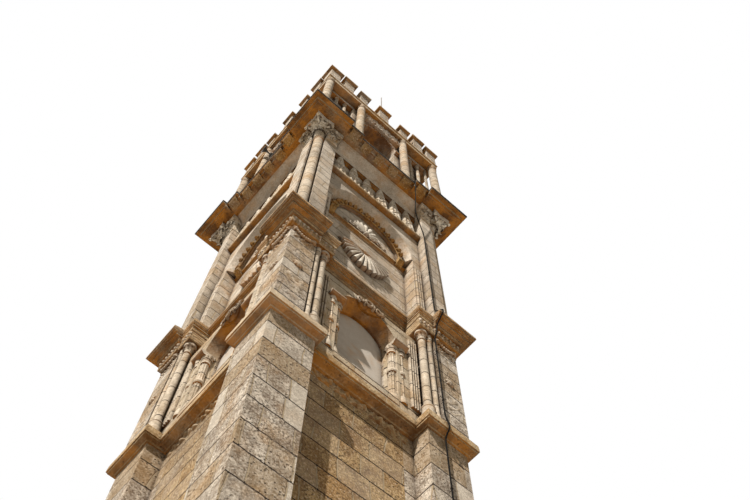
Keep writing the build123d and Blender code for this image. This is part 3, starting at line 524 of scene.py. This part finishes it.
class TowerCarving(bpy.types.PropertyGroup):
    """Sizes of the carved ornament."""
    shell_ribs: IntProperty(name="Shell ribs", description="Ribs of each scallop shell",
                            default=15, min=5)
    shell_half_width: FloatProperty(name="Shell half width", default=0.5, unit="LENGTH",
                                    description="Reach of a shell to each side")
    shell_drop: FloatProperty(name="Shell drop", default=0.64, unit="LENGTH",
                              description="Reach of a shell below its hinge")
    crocket_count: IntProperty(name="Crockets", description="Curled leaves along a hood",
                               default=17, min=3)
    crocket_size: FloatProperty(name="Crocket size", default=0.055, unit="LENGTH",
                                description="Radius of a hood's curls")
    bracket_pitch: FloatProperty(name="Bracket pitch", default=0.352, unit="LENGTH",
                                 description="Spacing of the frieze's brackets")
    bracket_half: FloatProperty(name="Bracket half width", default=0.15, unit="LENGTH",
                                description="Half width at a bracket's foot")
    egg_pitch: FloatProperty(name="Egg pitch", default=0.078, unit="LENGTH",
                             description="Spacing of the eggs on the middle course")
    modillion_pitch: FloatProperty(name="Modillion pitch", default=0.33, unit="LENGTH",
                                   description="Spacing of the cornice's blocks")
    shaft_flutes: IntProperty(name="Flutes", description="Flutes round a window's jamb shaft",
                              default=10)


class TowerStage(bpy.types.PropertyGroup):
    """Camera and light of the studio."""
    lens: FloatProperty(name="Lens", description="Focal length of the camera in mm", default=39.93)
    sun_strength: FloatProperty(name="Sun", description="Strength of the main light", default=6.1)
    fill_strength: FloatProperty(name="Fill", description="Strength of the even light", default=0.05)
    floor_colour: FloatVectorProperty(name="Floor", description="Colour of the floor", size=4,
                                      subtype="COLOR", default=linear("#bebab2"))


class TOWER_OT_finish_frame(bpy.types.Operator):
    """Gives each node of the frame its limestone, plaster or metal"""
    bl_idname = "tower.finish_frame"
    bl_label = "Finish the masonry"

    def execute(self, context):
        finishes = materials()
        for name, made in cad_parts.items():
            for side in ("front", "right", "back", "left"):
                name = name.removesuffix("_" + side)
            made.data.materials.clear()
            made.data.materials.append(finishes[NODE_FINISH.get(name, "carved")])
        return {"FINISHED"}


class TOWER_OT_shells(bpy.types.Operator):
    """Carves the scallop shell of each recess: ribs fan out from a hinge and end in a waved rim"""
    bl_idname = "tower.shells"
    bl_label = "Carve the shells"

    def execute(self, context):
        sizes = context.scene.tower_carving
        ribs, wide = sizes.shell_ribs, sizes.shell_half_width
        fan = math.radians(78)
        side = wide / np.sin(fan)
        angle = np.linspace(-fan, fan, ribs * 14 + 1)
        rib = np.abs(np.sin(np.pi * ribs * (angle + fan) / (2 * fan)))
        length = side + (sizes.shell_drop - side) * np.cos(angle) ** 2
        length = length * (0.94 + 0.06 * rib ** 0.5)
        share = rows(0.07, 1, 20)
        dome = 0.02 + 0.05 * np.sin(np.pi * (0.1 + 0.75 * share))
        skins = relief(np.sin(angle) * length * share,
                       ARCADE_WALL + dome + (0.015 + 0.045 * share) * rib ** 0.6,
                       SHELL_HINGE - np.cos(angle) * length * share, ARCADE_WALL)

        # A bead with knobs along the hinge, which rises by a sine and droops by a cube
        bead, knobs = np.linspace(0, 1, 20), np.linspace(0.12, 0.95, 8)
        brow, seats = (SHELL_HINGE + 0.03 * np.sin(np.pi * way) - 0.1 * way ** 3
                       for way in (bead, knobs))
        for hand in (-1, 1):
            edge = hand * wide * 1.02
            skins += tube(edge * bead, ARCADE_WALL + 0.06 - 0.03 * bead, brow, 0.034 - 0.014 * bead)
            for knob, seat in zip(knobs, seats):
                skins += boss(edge * knob, seat + 0.035, ARCADE_WALL, 0.027, 0.05, around=10, rings=5)
            skins += spiral(edge * 0.97, SHELL_HINGE - 0.08, ARCADE_WALL + 0.03, 0.05, hand=hand)
        skins += boss(0, SHELL_HINGE + 0.01, ARCADE_WALL, 0.07, 0.1, petals=5, wave=0.12, around=30)
        carve("carved_shells", skins, "washed", nodes=["shell_reliefs"])
        return {"FINISHED"}


class TOWER_OT_frieze(bpy.types.Operator):
    """Carves the frieze: pierced brackets under little arches, and a vine in the cove above"""
    bl_idname = "tower.frieze"
    bl_label = "Carve the frieze"

    def execute(self, context):
        sizes = context.scene.tower_carving
        pitch, half = sizes.bracket_pitch, sizes.bracket_half
        u = np.linspace(-1, 1, 33)
        v = rows(0, 1, 5)
        low = BRACKET_TOP - 0.36 + 0.27 * np.sqrt(np.clip(1 - (u / 0.74) ** 2, 0, 1))
        high = BRACKET_TOP + 0.004
        arch = relief(pitch / 2 * u, FRIEZE_WALL + 0.03 + 0.034 * v ** 2, low + (high - low) * v,
                      FRIEZE_WALL)
        # The arches' dark finish is painted shade for the hollows between the brackets' tops
        carve("frieze_arches", repeated(arch, 7, pitch), "painted_shade")

        # Drilled holes as (across in half widths, share of the height)
        holes = ((-0.4, 0.12), (0.4, 0.12), (0.0, 0.25), (-0.3, 0.38), (0.35, 0.4), (0.0, 0.55),
                 (0.0, 0.72))
        u = np.linspace(-1, 1, 23)
        v = rows(0, 1, 48)
        rise = BRACKET_TOP - LEDGE_TOP
        x = half * (1 - 0.64 * v ** 1.5) * (1 + 0.05 * np.cos(2 * np.pi * 6 * v)) * u
        z = LEDGE_TOP + rise * v
        out = BRACKET_FACE - 0.06 * v - 0.03 * u ** 4 + 0.012 * np.cos(3 * np.pi * u) * (1 - v)
        for across, up in holes:
            away = np.hypot(x - across * half, z - (LEDGE_TOP + up * rise))
            out = out - 0.08 * np.clip(1.5 - away / 0.025, 0, 1)
        brackets = repeated(relief(x, out, z, FRIEZE_WALL), 6, pitch)
        # The brackets' pale finish is partly painted light: kept pale so they read as lit where they
        # fall in shade
        carve("carved_frieze_brackets", brackets, "drilled", nodes=["frieze_pendants"])

        x = np.linspace(-PILASTER_INNER, PILASTER_INNER, 230)
        share = rows(0.0, 0.94, 30)
        swirl = np.cos(26 * x + 4 * np.sin(7 * share)) * np.cos(9 * share + 3 * np.sin(13 * x))
        cove = COVE_FOOT + (COVE_TOP - COVE_FOOT) * share ** 3
        vine = relief(x, cove + 0.004 + 0.02 * np.clip(swirl, 0, 1) ** 0.7 * np.sin(np.pi * share),
                      CAPITAL_TOP + COVE_DROP * (share - 1), COVE_FOOT - 0.03)
        carve("frieze_vine", vine, "smooth")
        return {"FINISHED"}


class TOWER_OT_hoods(bpy.types.Operator):
    """Carves each hood with curled leaves, and the tympanum under it with a palmette"""
    bl_idname = "tower.hoods"
    bl_label = "Carve the hoods"

    def execute(self, context):
        sizes = context.scene.tower_carving
        size = sizes.crocket_size
        radius = HOOD_TOP - HOOD_FOOT - 0.035
        turn = np.linspace(0, np.pi, 90)
        skins = []
        for reach, thick in ((radius - 0.05, 0.014), (radius + 0.05, 0.01)):
            skins += tube(reach * np.cos(turn), HOOD_FACE - 0.01, HOOD_FOOT + reach * np.sin(turn),
                          thick)
        for angle in spaced(0.12, np.pi - 0.3, np.pi / sizes.crocket_count):
            x, z = radius * np.cos(angle), HOOD_FOOT + radius * np.sin(angle)
            skins += spiral(x, z, HOOD_FACE + 0.02, size, turns=1.2, hand=-1, start=angle - 0.6)
            skins += boss(x, z, HOOD_FACE - 0.03, size * 0.8, 0.1, petals=4, wave=0.22, around=28,
                          rings=7)
        for step, wide in ((0.1, 1.7), (0.24, 1.2)):
            angle = np.pi - step
            skins += spiral(radius * np.cos(angle), HOOD_FOOT + radius * np.sin(angle), HOOD_FACE,
                            size * wide, turns=1.6, start=angle)
        skins += boss(0, HOOD_FOOT + radius + 0.03, HOOD_FACE - 0.05, 0.07, 0.1, petals=3, wave=0.3,
                      around=30)

        # A small corbel under each end of the hood
        outline = ((1.2, 0.0), (1.24, 0.0), (1.27, 0.04), (1.33, 0.08), (1.34, 0.12), (1.33, 0.16),
                   (1.3, 0.19), (1.2, 0.19))
        for hand in (-1, 1):
            skins += shelf(outline, 0, IMPOST_FOOT, hand * radius - 0.06, hand * radius + 0.06)
            skins += spiral(hand * radius, IMPOST_FOOT + 0.11, 1.33, 0.035, hand=hand)
        carve("hood_crockets", skins, "golden_stain_and_bounce")

        petals = 9
        fan = math.radians(84)
        angle = np.linspace(-fan, fan, petals * 10 + 1)
        petal = np.abs(np.sin(np.pi * petals * (angle + fan) / (2 * fan)))
        length = (0.3 + 0.1 * np.cos(angle) ** 2) * (0.86 + 0.14 * petal ** 0.5)
        share = rows(0.1, 1, 14)
        rise = 0.015 + 0.03 * share * petal ** 0.8 + 0.02 * np.sin(np.pi * share)
        foot = IMPOST_TOP + 0.08
        skins = relief(np.sin(angle) * length * share, TYMPANUM + rise,
                       foot + np.cos(angle) * length * share * 1.15, TYMPANUM)
        for hand in (-1, 1):
            for reach, lift, curl in ((0.16, 0.03, 0.08), (0.33, 0.04, 0.07), (0.47, 0.02, 0.05)):
                skins += spiral(hand * reach, foot + lift, TYMPANUM + 0.01, curl, hand=hand,
                                start=1.0)
        skins += boss(0, foot + 0.03, TYMPANUM, 0.07, 0.08, petals=6, wave=0.15, around=30)
        carve("tympanum_palmettes", skins, "washed")
        return {"FINISHED"}


class TOWER_OT_capitals(bpy.types.Operator):
    """Carves the capitals of the corner columns and of the pilasters beside them"""
    bl_idname = "tower.capitals"
    bl_label = "Carve the capitals"

    def execute(self, context):
        foot, top = CAPITAL_FOOT, CAPITAL_TOP
        abacus = top - 0.2
        tall = abacus - foot
        centre = CAPITAL_SPREAD - 0.213
        turn = np.linspace(0, 2 * np.pi, 33)
        share = np.array([0, 0.25, 0.4, 0.45, 0.9, 1.0])[:, None]
        half = np.array([0.2, 0.205, 0.205, 0.19, 0.213, 0.21])[:, None]
        square = np.maximum(np.abs(np.cos(turn)), np.abs(np.sin(turn)))
        ring = half * (1 - 0.1 * np.abs(np.cos(2 * turn)) ** 1.5) / square
        slab = loft(centre + ring * np.cos(turn), centre + ring * np.sin(turn),
                    abacus + (top - abacus) * share)
        carve("capital_slabs", slab, "washed")

        # The bell leans out from the column's axis to the middle of the slab
        share = np.array([0, 0.04, 0.08, 0.1, 0.3, 0.6, 0.85, 1.0])[:, None]
        reach = np.array([0.1, 0.125, 0.12, 0.1, 0.105, 0.13, 0.165, 0.19])[:, None]
        lean = centre - CORNER_COLUMN
        axis = CORNER_COLUMN + lean * np.clip(share * 1.3 - 0.3, 0, 1) ** 1.4
        bell = loft(axis + reach * np.cos(turn), axis + reach * np.sin(turn), foot + tall * share)
        carve("capital_bells", bell, "drilled")

        angles = np.arange(10) * np.pi / 5
        low, high = CORNER_COLUMN + 0.02, CORNER_COLUMN + 0.45 * lean
        skins = leaf_ring(low, low, 0.1, foot + 0.04, angles, tall * 0.48, 0.045, 0.045, 0.09)
        skins += leaf_ring(high, high, 0.135, foot + tall * 0.42, angles + np.pi / 10, tall * 0.48,
                           0.05, 0.06, 0.1)
        share = np.linspace(0, 1, 24)
        angle = share * 2 * np.pi * 1.3
        size = 0.075 * (1 - 0.8 * share)
        push = 0.12 + size * np.cos(angle)
        for across, out in ((1, 1), (-1, 1), (1, -1)):
            skins += tube(centre + across * push, centre + out * push,
                          abacus - 0.055 + size * np.sin(angle), 0.028 * (1.2 - 0.6 * share),
                          normal=(out, -across, 0))
        skins += leaf_ring(centre, centre, 0.19, abacus - 0.06, (0.0, -np.pi / 2), 0.1, 0.045, 0.01,
                           0.02)

        # The pilaster's cap, in rows of (inner edge, face, level)
        inner, outer = PILASTER_INNER, PILASTER_OUTER - 0.01
        cap = [(inner - spread * 0.5, PILASTER_FACE + spread, foot + tall * level)
               for spread, level in ((0.0, 0.0), (0.018, 0.03), (0.018, 0.06), (0.0, 0.08),
                                     (0.01, 0.6), (0.06, 0.95), (0.085, 1.0))]
        cap += [(inner - 0.045, PILASTER_FACE + 0.125, level) for level in (abacus, top)]
        edge, face, level = np.array(cap).T
        far, wall = np.full_like(edge, outer), np.full_like(edge, FRIEZE_WALL)
        pilaster = loft(np.stack([edge, edge, far, far, edge], axis=-1),
                        np.stack([wall, face, face, wall, wall], axis=-1), level[:, None])
        width = outer - inner
        for index in range(3):
            pilaster += leaf(inner + width * (index + 0.5) / 3, PILASTER_FACE, foot + 0.05, 0.0,
                             tall * 0.42, width / 6.2, 0.025, 0.055)
        for index in range(2):
            pilaster += leaf(inner + width * (index + 1) / 3, PILASTER_FACE, foot + 0.13, 0.0,
                             tall * 0.62, width / 6, 0.045, 0.08)
            out = FRIEZE_WALL + (PILASTER_FACE - FRIEZE_WALL) * (index + 0.5) / 2
            pilaster += leaf(inner, out, foot + 0.05, np.pi / 2, tall * (0.45 + 0.2 * index), 0.05,
                             0.02, 0.05)
        for x, hand in ((inner + 0.04, -1), (outer - 0.05, 1)):
            pilaster += spiral(x, abacus - 0.06, PILASTER_FACE + 0.07, 0.055, hand=hand)
        pilaster += boss((inner + outer) / 2, abacus + 0.02, PILASTER_FACE + 0.11, 0.045, 0.04,
                         petals=5, wave=0.2, around=20)
        carve("carved_capitals", skins + mirrored(pilaster), "drilled", nodes=["corner_capitals"])
        return {"FINISHED"}


class TOWER_OT_shafts(bpy.types.Operator):
    """Cuts the fluted jamb shafts of the windows and the leaves round the colonnettes' heads"""
    bl_idname = "tower.shafts"
    bl_label = "Flute the shafts"

    def execute(self, context):
        low, high = SILL_TOP, SHAFT_HEAD
        middle = low + (high - low) * 0.52
        levels = [low, low + 0.09, low + 0.1, low + 0.14, low + 0.15, middle - 0.05, middle - 0.04,
                  middle, middle + 0.04, middle + 0.05, high - 0.2, high - 0.19, high - 0.16,
                  high - 0.15, high - 0.1, high - 0.05, high]
        radii = np.array([0.078, 0.078, 0.07, 0.072, 0.06, 0.059, 0.068, 0.074, 0.068, 0.059, 0.057,
                          0.068, 0.068, 0.06, 0.075, 0.086, 0.084])
        depth = [0, 0, 0, 0, 0.16, 0.16, 0, 0, 0, 0.16, 0.16, 0, 0, 0, 0.05, 0.08, 0]
        flutes = context.scene.tower_carving.shaft_flutes
        shaft = lathe(radii, levels, *JAMB_SHAFT, flutes, depth, around=80)
        shaft += leaf_ring(*JAMB_SHAFT, 0.055, high - 0.16, (np.arange(6) - 2.5) * 0.75, 0.11, 0.024,
                           0.01, 0.025)
        carve("fluted_jamb_shafts", mirrored(shaft), "column",
              nodes=["window_jamb_shafts"])

        rolls = lathe(radii * 0.85, levels, *FRAME_SHAFT, 8, depth, around=64)
        outline = ((-0.16, -0.03), (0.02, -0.03), (0.05, 0.0), (0.075, 0.03), (0.075, 0.055),
                   (-0.16, 0.055))
        rolls += shelf(outline, WINDOW_FRAME, high, 0.44, 0.69)
        strip = np.linspace(0.72, 0.885, 49)
        share = (strip - strip[0]) / (strip[-1] - strip[0])
        rolls += relief(strip, WINDOW_FRAME + 0.006 + 0.034 * np.abs(np.sin(4 * np.pi * share)) ** 0.6,
                        rows(low + 0.04, high + 0.42, 3), WINDOW_FRAME)
        rolls += lathe([0.055, 0.055, 0.045, 0.045, 0.055, 0.055],
                       [WINDOW_FOOT, WINDOW_FOOT + 0.2, WINDOW_FOOT + 0.22, WINDOW_TOP - 0.2,
                        WINDOW_TOP - 0.17, WINDOW_TOP], *PIER_ROLL)
        carve("window_rolls", mirrored(rolls), "column")

        leaves = leaf_ring(*COLONNETTE, 0.055, WINDOW_TOP - 0.24, np.arange(8) * np.pi / 4, 0.15,
                           0.03, 0.012, 0.035)
        carve("colonnette_leaves", mirrored(leaves))
        return {"FINISHED"}


class TOWER_OT_courses(bpy.types.Operator):
    """Cuts the eggs of the middle course, the worn beads of the lower one and the cornice's blocks"""
    bl_idname = "tower.courses"
    bl_label = "Carve the courses"

    def execute(self, context):
        sizes = context.scene.tower_carving
        eggs = []
        for start, end, face in MIDDLE_COURSE_BAYS:
            for x in spaced(start, end, sizes.egg_pitch):
                eggs += boss(x, WINDOW_TOP + 0.165, face - 0.01, 0.05, 0.035, squeeze=0.52,
                             around=10, rings=5)
                eggs += boss(x, WINDOW_TOP + 0.08, face - 0.012, 0.022, 0.028, around=8, rings=4)
        carve("middle_course_eggs", mirrored(eggs))

        worn = eroded_patch(-0.85, 0.85, SHAFT_TOP - 0.17, SHAFT_TOP - 0.01, SHAFT_WALL, 0.035, 37,
                            columns=150, lines=14)
        carve("lower_course_beads", worn, "moulding")

        outline = ((-0.22, 0.01), (-0.1, 0.012), (-0.06, 0.05), (-0.03, 0.1), (-0.03, 0.145),
                   (-0.22, 0.145))
        blocks = []
        for start, end, edge in CORNICE_BAYS:
            for x in spaced(start, end, sizes.modillion_pitch):
                blocks += shelf(outline, edge, CAPITAL_TOP, x - 0.11, x + 0.11)
        carve("cornice_modillions", mirrored(blocks), "golden_stain_and_bounce")
        return {"FINISHED"}


class TOWER_OT_reliefs(bpy.types.Operator):
    """Carves the worn foliage of the piers, their swags, the window crests and the strip's rolls"""
    bl_idname = "tower.reliefs"
    bl_label = "Carve the reliefs"

    def execute(self, context):
        skins = eroded_patch(1.16, 1.5, WINDOW_FOOT + 0.45, WINDOW_FOOT + 0.95, WINDOW_PIER, 0.011,
                             29)
        skins += eroded_patch(1.14, 1.52, WINDOW_TOP - 0.3, WINDOW_TOP - 0.02, WINDOW_PIER, 0.02, 75)

        # A swag that hangs as a parabola between two flowers, knotted by a cosine
        left, right = 1.17, 1.5
        way = np.linspace(0, 1, 40)
        sag = 0.11 * (1 - (2 * way - 1) ** 2)
        knots = 0.026 * (0.6 + 0.5 * np.sin(np.pi * way)) * (1 + 0.25 * np.cos(way * 2 * np.pi * 9))
        skins += tube(left + (right - left) * way, WINDOW_PIER + 0.03, WINDOW_TOP - 0.05 - sag, knots)
        for x in (left, right):
            skins += boss(x, WINDOW_TOP - 0.05, WINDOW_PIER, 0.045, 0.055, petals=5, wave=0.2,
                          around=20)
        skins += boss(1.33, WINDOW_FOOT + 1.25, WINDOW_PIER, 0.075, 0.035, petals=8, wave=0.12,
                      around=48)
        carve("pier_foliage", mirrored(skins))

        crest = []
        for x, lift, size, hand in ((-0.15, -0.03, 0.07, -1), (0.0, 0.0, 0.1, 1),
                                    (0.16, -0.02, 0.08, -1)):
            crest += spiral(x, FRAME_TOP - 0.06 + lift, WINDOW_FRAME + 0.01, size, hand=hand,
                            start=x * 9)
            crest += boss(x + 0.08, FRAME_TOP - 0.08, WINDOW_FRAME - 0.01, 0.05, 0.06, petals=4,
                          wave=0.3, around=20)
        carve("window_crests", crest)

        x = np.linspace(STRIP_INNER + 0.02, PILASTER_INNER - 0.015, 41)
        share = (x - x[0]) / (x[-1] - x[0])
        z = rows(MIDDLE_SEAT + 0.02, MIDDLE_SEAT + 2.04, 3)
        strips = relief(x, STRIP_FACE + 0.006 + 0.022 * np.abs(np.sin(3 * np.pi * share)) ** 0.6, z,
                        STRIP_FACE)
        carve("strip_rolls", mirrored(strips), "arcade")
        return {"FINISHED"}


class TOWER_OT_belfry(bpy.types.Operator):
    """Carves the belfry's arch rings, their imposts and the foliage of the spandrels"""
    bl_idname = "tower.belfry"
    bl_label = "Carve the belfry"

    def execute(self, context):
        inner = BELFRY_ARCH_RADIUS + 0.004
        turn = np.linspace(0, np.pi, 121)
        share = rows(0, 1, 9)
        radius = inner + 0.11 * share
        joints = np.clip(np.abs(np.sin(turn * 6.5)) * 5, 0, 1)
        rise = 0.01 + (0.02 + 0.018 * np.sin(np.pi * 2.5 * share)) * joints
        ring = relief(radius * np.cos(turn), BELFRY_WALL + rise,
                      BELFRY_ARCH_SPRING + radius * np.sin(turn), BELFRY_WALL)
        outline = ((-0.02, -0.14), (0.03, -0.14), (0.045, -0.1), (0.05, -0.06), (0.08, -0.04),
                   (0.08, 0.0), (-0.02, 0.0))
        ring += mirrored(shelf(outline, BELFRY_WALL, BELFRY_ARCH_SPRING, inner, inner + 0.121))
        carve("belfry_arch_rings", ring, "belfry")

        panel = BELFRY_WALL + 0.1
        foot = BELFRY_ARCH_SPRING + BELFRY_ARCH_RADIUS + 0.13
        x = np.linspace(0, 0.585, 60)
        share = rows(0, 1, 34)
        lumps = np.cos(41 * x + 3 * np.sin(9 * share)) * np.cos(15 * share + 2 * np.sin(13 * x))
        foliage = relief(x, panel + 0.025 * np.clip(0.3 + lumps, 0, 1),
                         foot + (BELFRY_TOP - foot) * share, BELFRY_WALL)
        for x, lift, size, hand in ((0.5, 0.3, 0.06, 1), (0.36, 0.36, 0.06, -1),
                                    (0.5, 0.45, 0.05, -1), (0.22, 0.3, 0.06, 1),
                                    (0.08, 0.34, 0.05, -1)):
            foliage += spiral(x, foot - 0.13 + lift, panel + 0.01, size, hand=hand, start=lift * 9)
        carve("belfry_foliage", mirrored(foliage), "washed")
        return {"FINISHED"}


class TOWER_OT_ironwork(bpy.types.Operator):
    """Bends the slim clips of the conductor and the side arms at the foot of the rod"""
    bl_idname = "tower.ironwork"
    bl_label = "Bend the ironwork"

    def execute(self, context):
        # The frame's clips, told apart by the gaps between their levels
        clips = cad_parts["conductor_clips"].data.vertices
        places = np.empty(len(clips) * 3)
        clips.foreach_get("co", places)
        places = places.reshape(-1, 3)
        places = places[np.argsort(places[:, 2])]
        breaks = np.flatnonzero(np.diff(places[:, 2]) > 0.1) + 1
        turn = np.linspace(0, 2 * np.pi, 17)
        way = np.linspace(0, 1, 4)
        skins = []
        for group in np.split(places, breaks):
            low, high = group.min(axis=0), group.max(axis=0)
            level = (low[2] + high[2]) / 2
            if high[2] > CAPITAL_TOP:
                x, out = (low[0] + high[0]) / 2, -high[1] + 0.012
                wall = out - 0.03
            else:
                x, out = low[0] + 0.016, -low[1] - 0.016
                wall = -high[1]
            skins += tube(x + 0.014 * np.cos(turn), out + 0.014 * np.sin(turn), level, 0.004,
                          normal=(0, 0, 1), around=6)
            skins += tube(x + 0.016, wall - 0.01 + (out - wall + 0.01) * way, level, 0.005,
                          normal=(0, 0, 1), around=6)
        carve("wire_clips", skins, "clip", nodes=["conductor_clips"], sides=1)

        low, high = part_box("lightning_rod")
        out = -(low[1] + high[1]) / 2
        foot = low[2] + 0.09
        way = np.linspace(0, 1, 14)
        arms = []
        for hand in (-1, 1):
            bend = 0.16 * hand * np.sin(way * np.pi * 0.5)
            arms += tube(bend * 0.8, out, foot + 0.04 + 0.18 * way ** 2, 0.006)
            arms += tube(0, out + bend * 0.3, foot + 0.3 * way - 0.08, 0.005, normal=(1, 0, 0))
        carve("rod_arms", arms, "rod", sides=1)
        return {"FINISHED"}


class TOWER_OT_stage(bpy.types.Operator):
    """Sets the pale floor, the soft light and the camera of the photograph"""
    bl_idname = "tower.stage"
    bl_label = "Set the stage"

    def execute(self, context):
        scene = context.scene
        settings = scene.tower_stage
        half = 60.0
        mesh = bpy.data.meshes.new("floor")
        corners = [(-half, -half, 0), (half, -half, 0), (half, half, 0), (-half, half, 0)]
        mesh.from_pydata(corners, [], [(0, 1, 2, 3)])
        floor = bpy.data.objects.new("floor", mesh)
        scene.collection.objects.link(floor)
        material, _, shader, _ = new_material("matt floor", 0.95, 0.5)
        shader.inputs["Base Color"].default_value = settings.floor_colour
        mesh.materials.append(material)

        # The camera and glossy surfaces see white, and the tower gets a faint fill
        world = bpy.data.worlds.new("studio")
        scene.world = world
        world.use_nodes = True
        tree = world.node_tree
        paths = node(tree, "LightPath").outputs
        seen = paths["Is Camera Ray"]
        for ray in ("Is Glossy Ray", "Is Transmission Ray"):
            seen = node(tree, "Math", {0: seen, 1: paths[ray]}, operation="MAXIMUM")
        fill = node(tree, "Background", {"Color": linear("#f2f2f6"), "Strength": settings.fill_strength})
        white = node(tree, "Background", {"Color": (1, 1, 1, 1)})
        both = node(tree, "MixShader", {0: seen, 1: fill, 2: white})
        tree.links.new(both.outputs[0], tree.nodes["World Output"].inputs["Surface"])

        lamp = bpy.data.lights.new("sun", "SUN")
        lamp.energy = settings.sun_strength
        lamp.angle = math.radians(SUN_WIDTH)
        lamp.color = linear("#fff8ee")[:3]
        sun = bpy.data.objects.new("sun", lamp)
        scene.collection.objects.link(sun)
        sun.rotation_euler = [math.radians(turn) for turn in SUN_TURN]

        camera_data = bpy.data.cameras.new("camera")
        camera_data.lens = settings.lens
        camera_data.clip_end = 300.0
        camera = bpy.data.objects.new("camera", camera_data)
        scene.collection.objects.link(camera)
        camera.location = CAMERA_PLACE
        camera.rotation_euler = [math.radians(turn) for turn in CAMERA_TURN]
        scene.camera = camera
        scene.view_settings.view_transform = "Standard"
        return {"FINISHED"}


class TOWER_PT_panel(bpy.types.Panel):
    """Lists the tower's sizes and operators"""
    bl_idname = "TOWER_PT_panel"
    bl_label = "Bell tower"
    bl_space_type = "VIEW_3D"
    bl_region_type = "UI"
    bl_category = "Bell tower"

    def draw(self, context):
        for group in (context.scene.tower_carving, context.scene.tower_stage):
            for name in group.__annotations__:
                self.layout.prop(group, name)
        for operator in OPERATORS:
            self.layout.operator(operator.bl_idname)


OPERATORS = (TOWER_OT_finish_frame, TOWER_OT_shells, TOWER_OT_frieze, TOWER_OT_hoods,
             TOWER_OT_capitals, TOWER_OT_shafts, TOWER_OT_courses, TOWER_OT_reliefs,
             TOWER_OT_belfry, TOWER_OT_ironwork, TOWER_OT_stage)
CLASSES = (TowerCarving, TowerStage, *OPERATORS, TOWER_PT_panel)


def register():
    for made in CLASSES:
        bpy.utils.register_class(made)
    bpy.types.Scene.tower_carving = PointerProperty(type=TowerCarving)
    bpy.types.Scene.tower_stage = PointerProperty(type=TowerStage)


def unregister():
    del bpy.types.Scene.tower_stage
    del bpy.types.Scene.tower_carving
    for made in reversed(CLASSES):
        bpy.utils.unregister_class(made)


def main():
    """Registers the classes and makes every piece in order."""
    register()
    for operator in OPERATORS:
        group, name = operator.bl_idname.split(".")
        getattr(getattr(bpy.ops, group), name)()


if __name__ == "__main__":
    main()
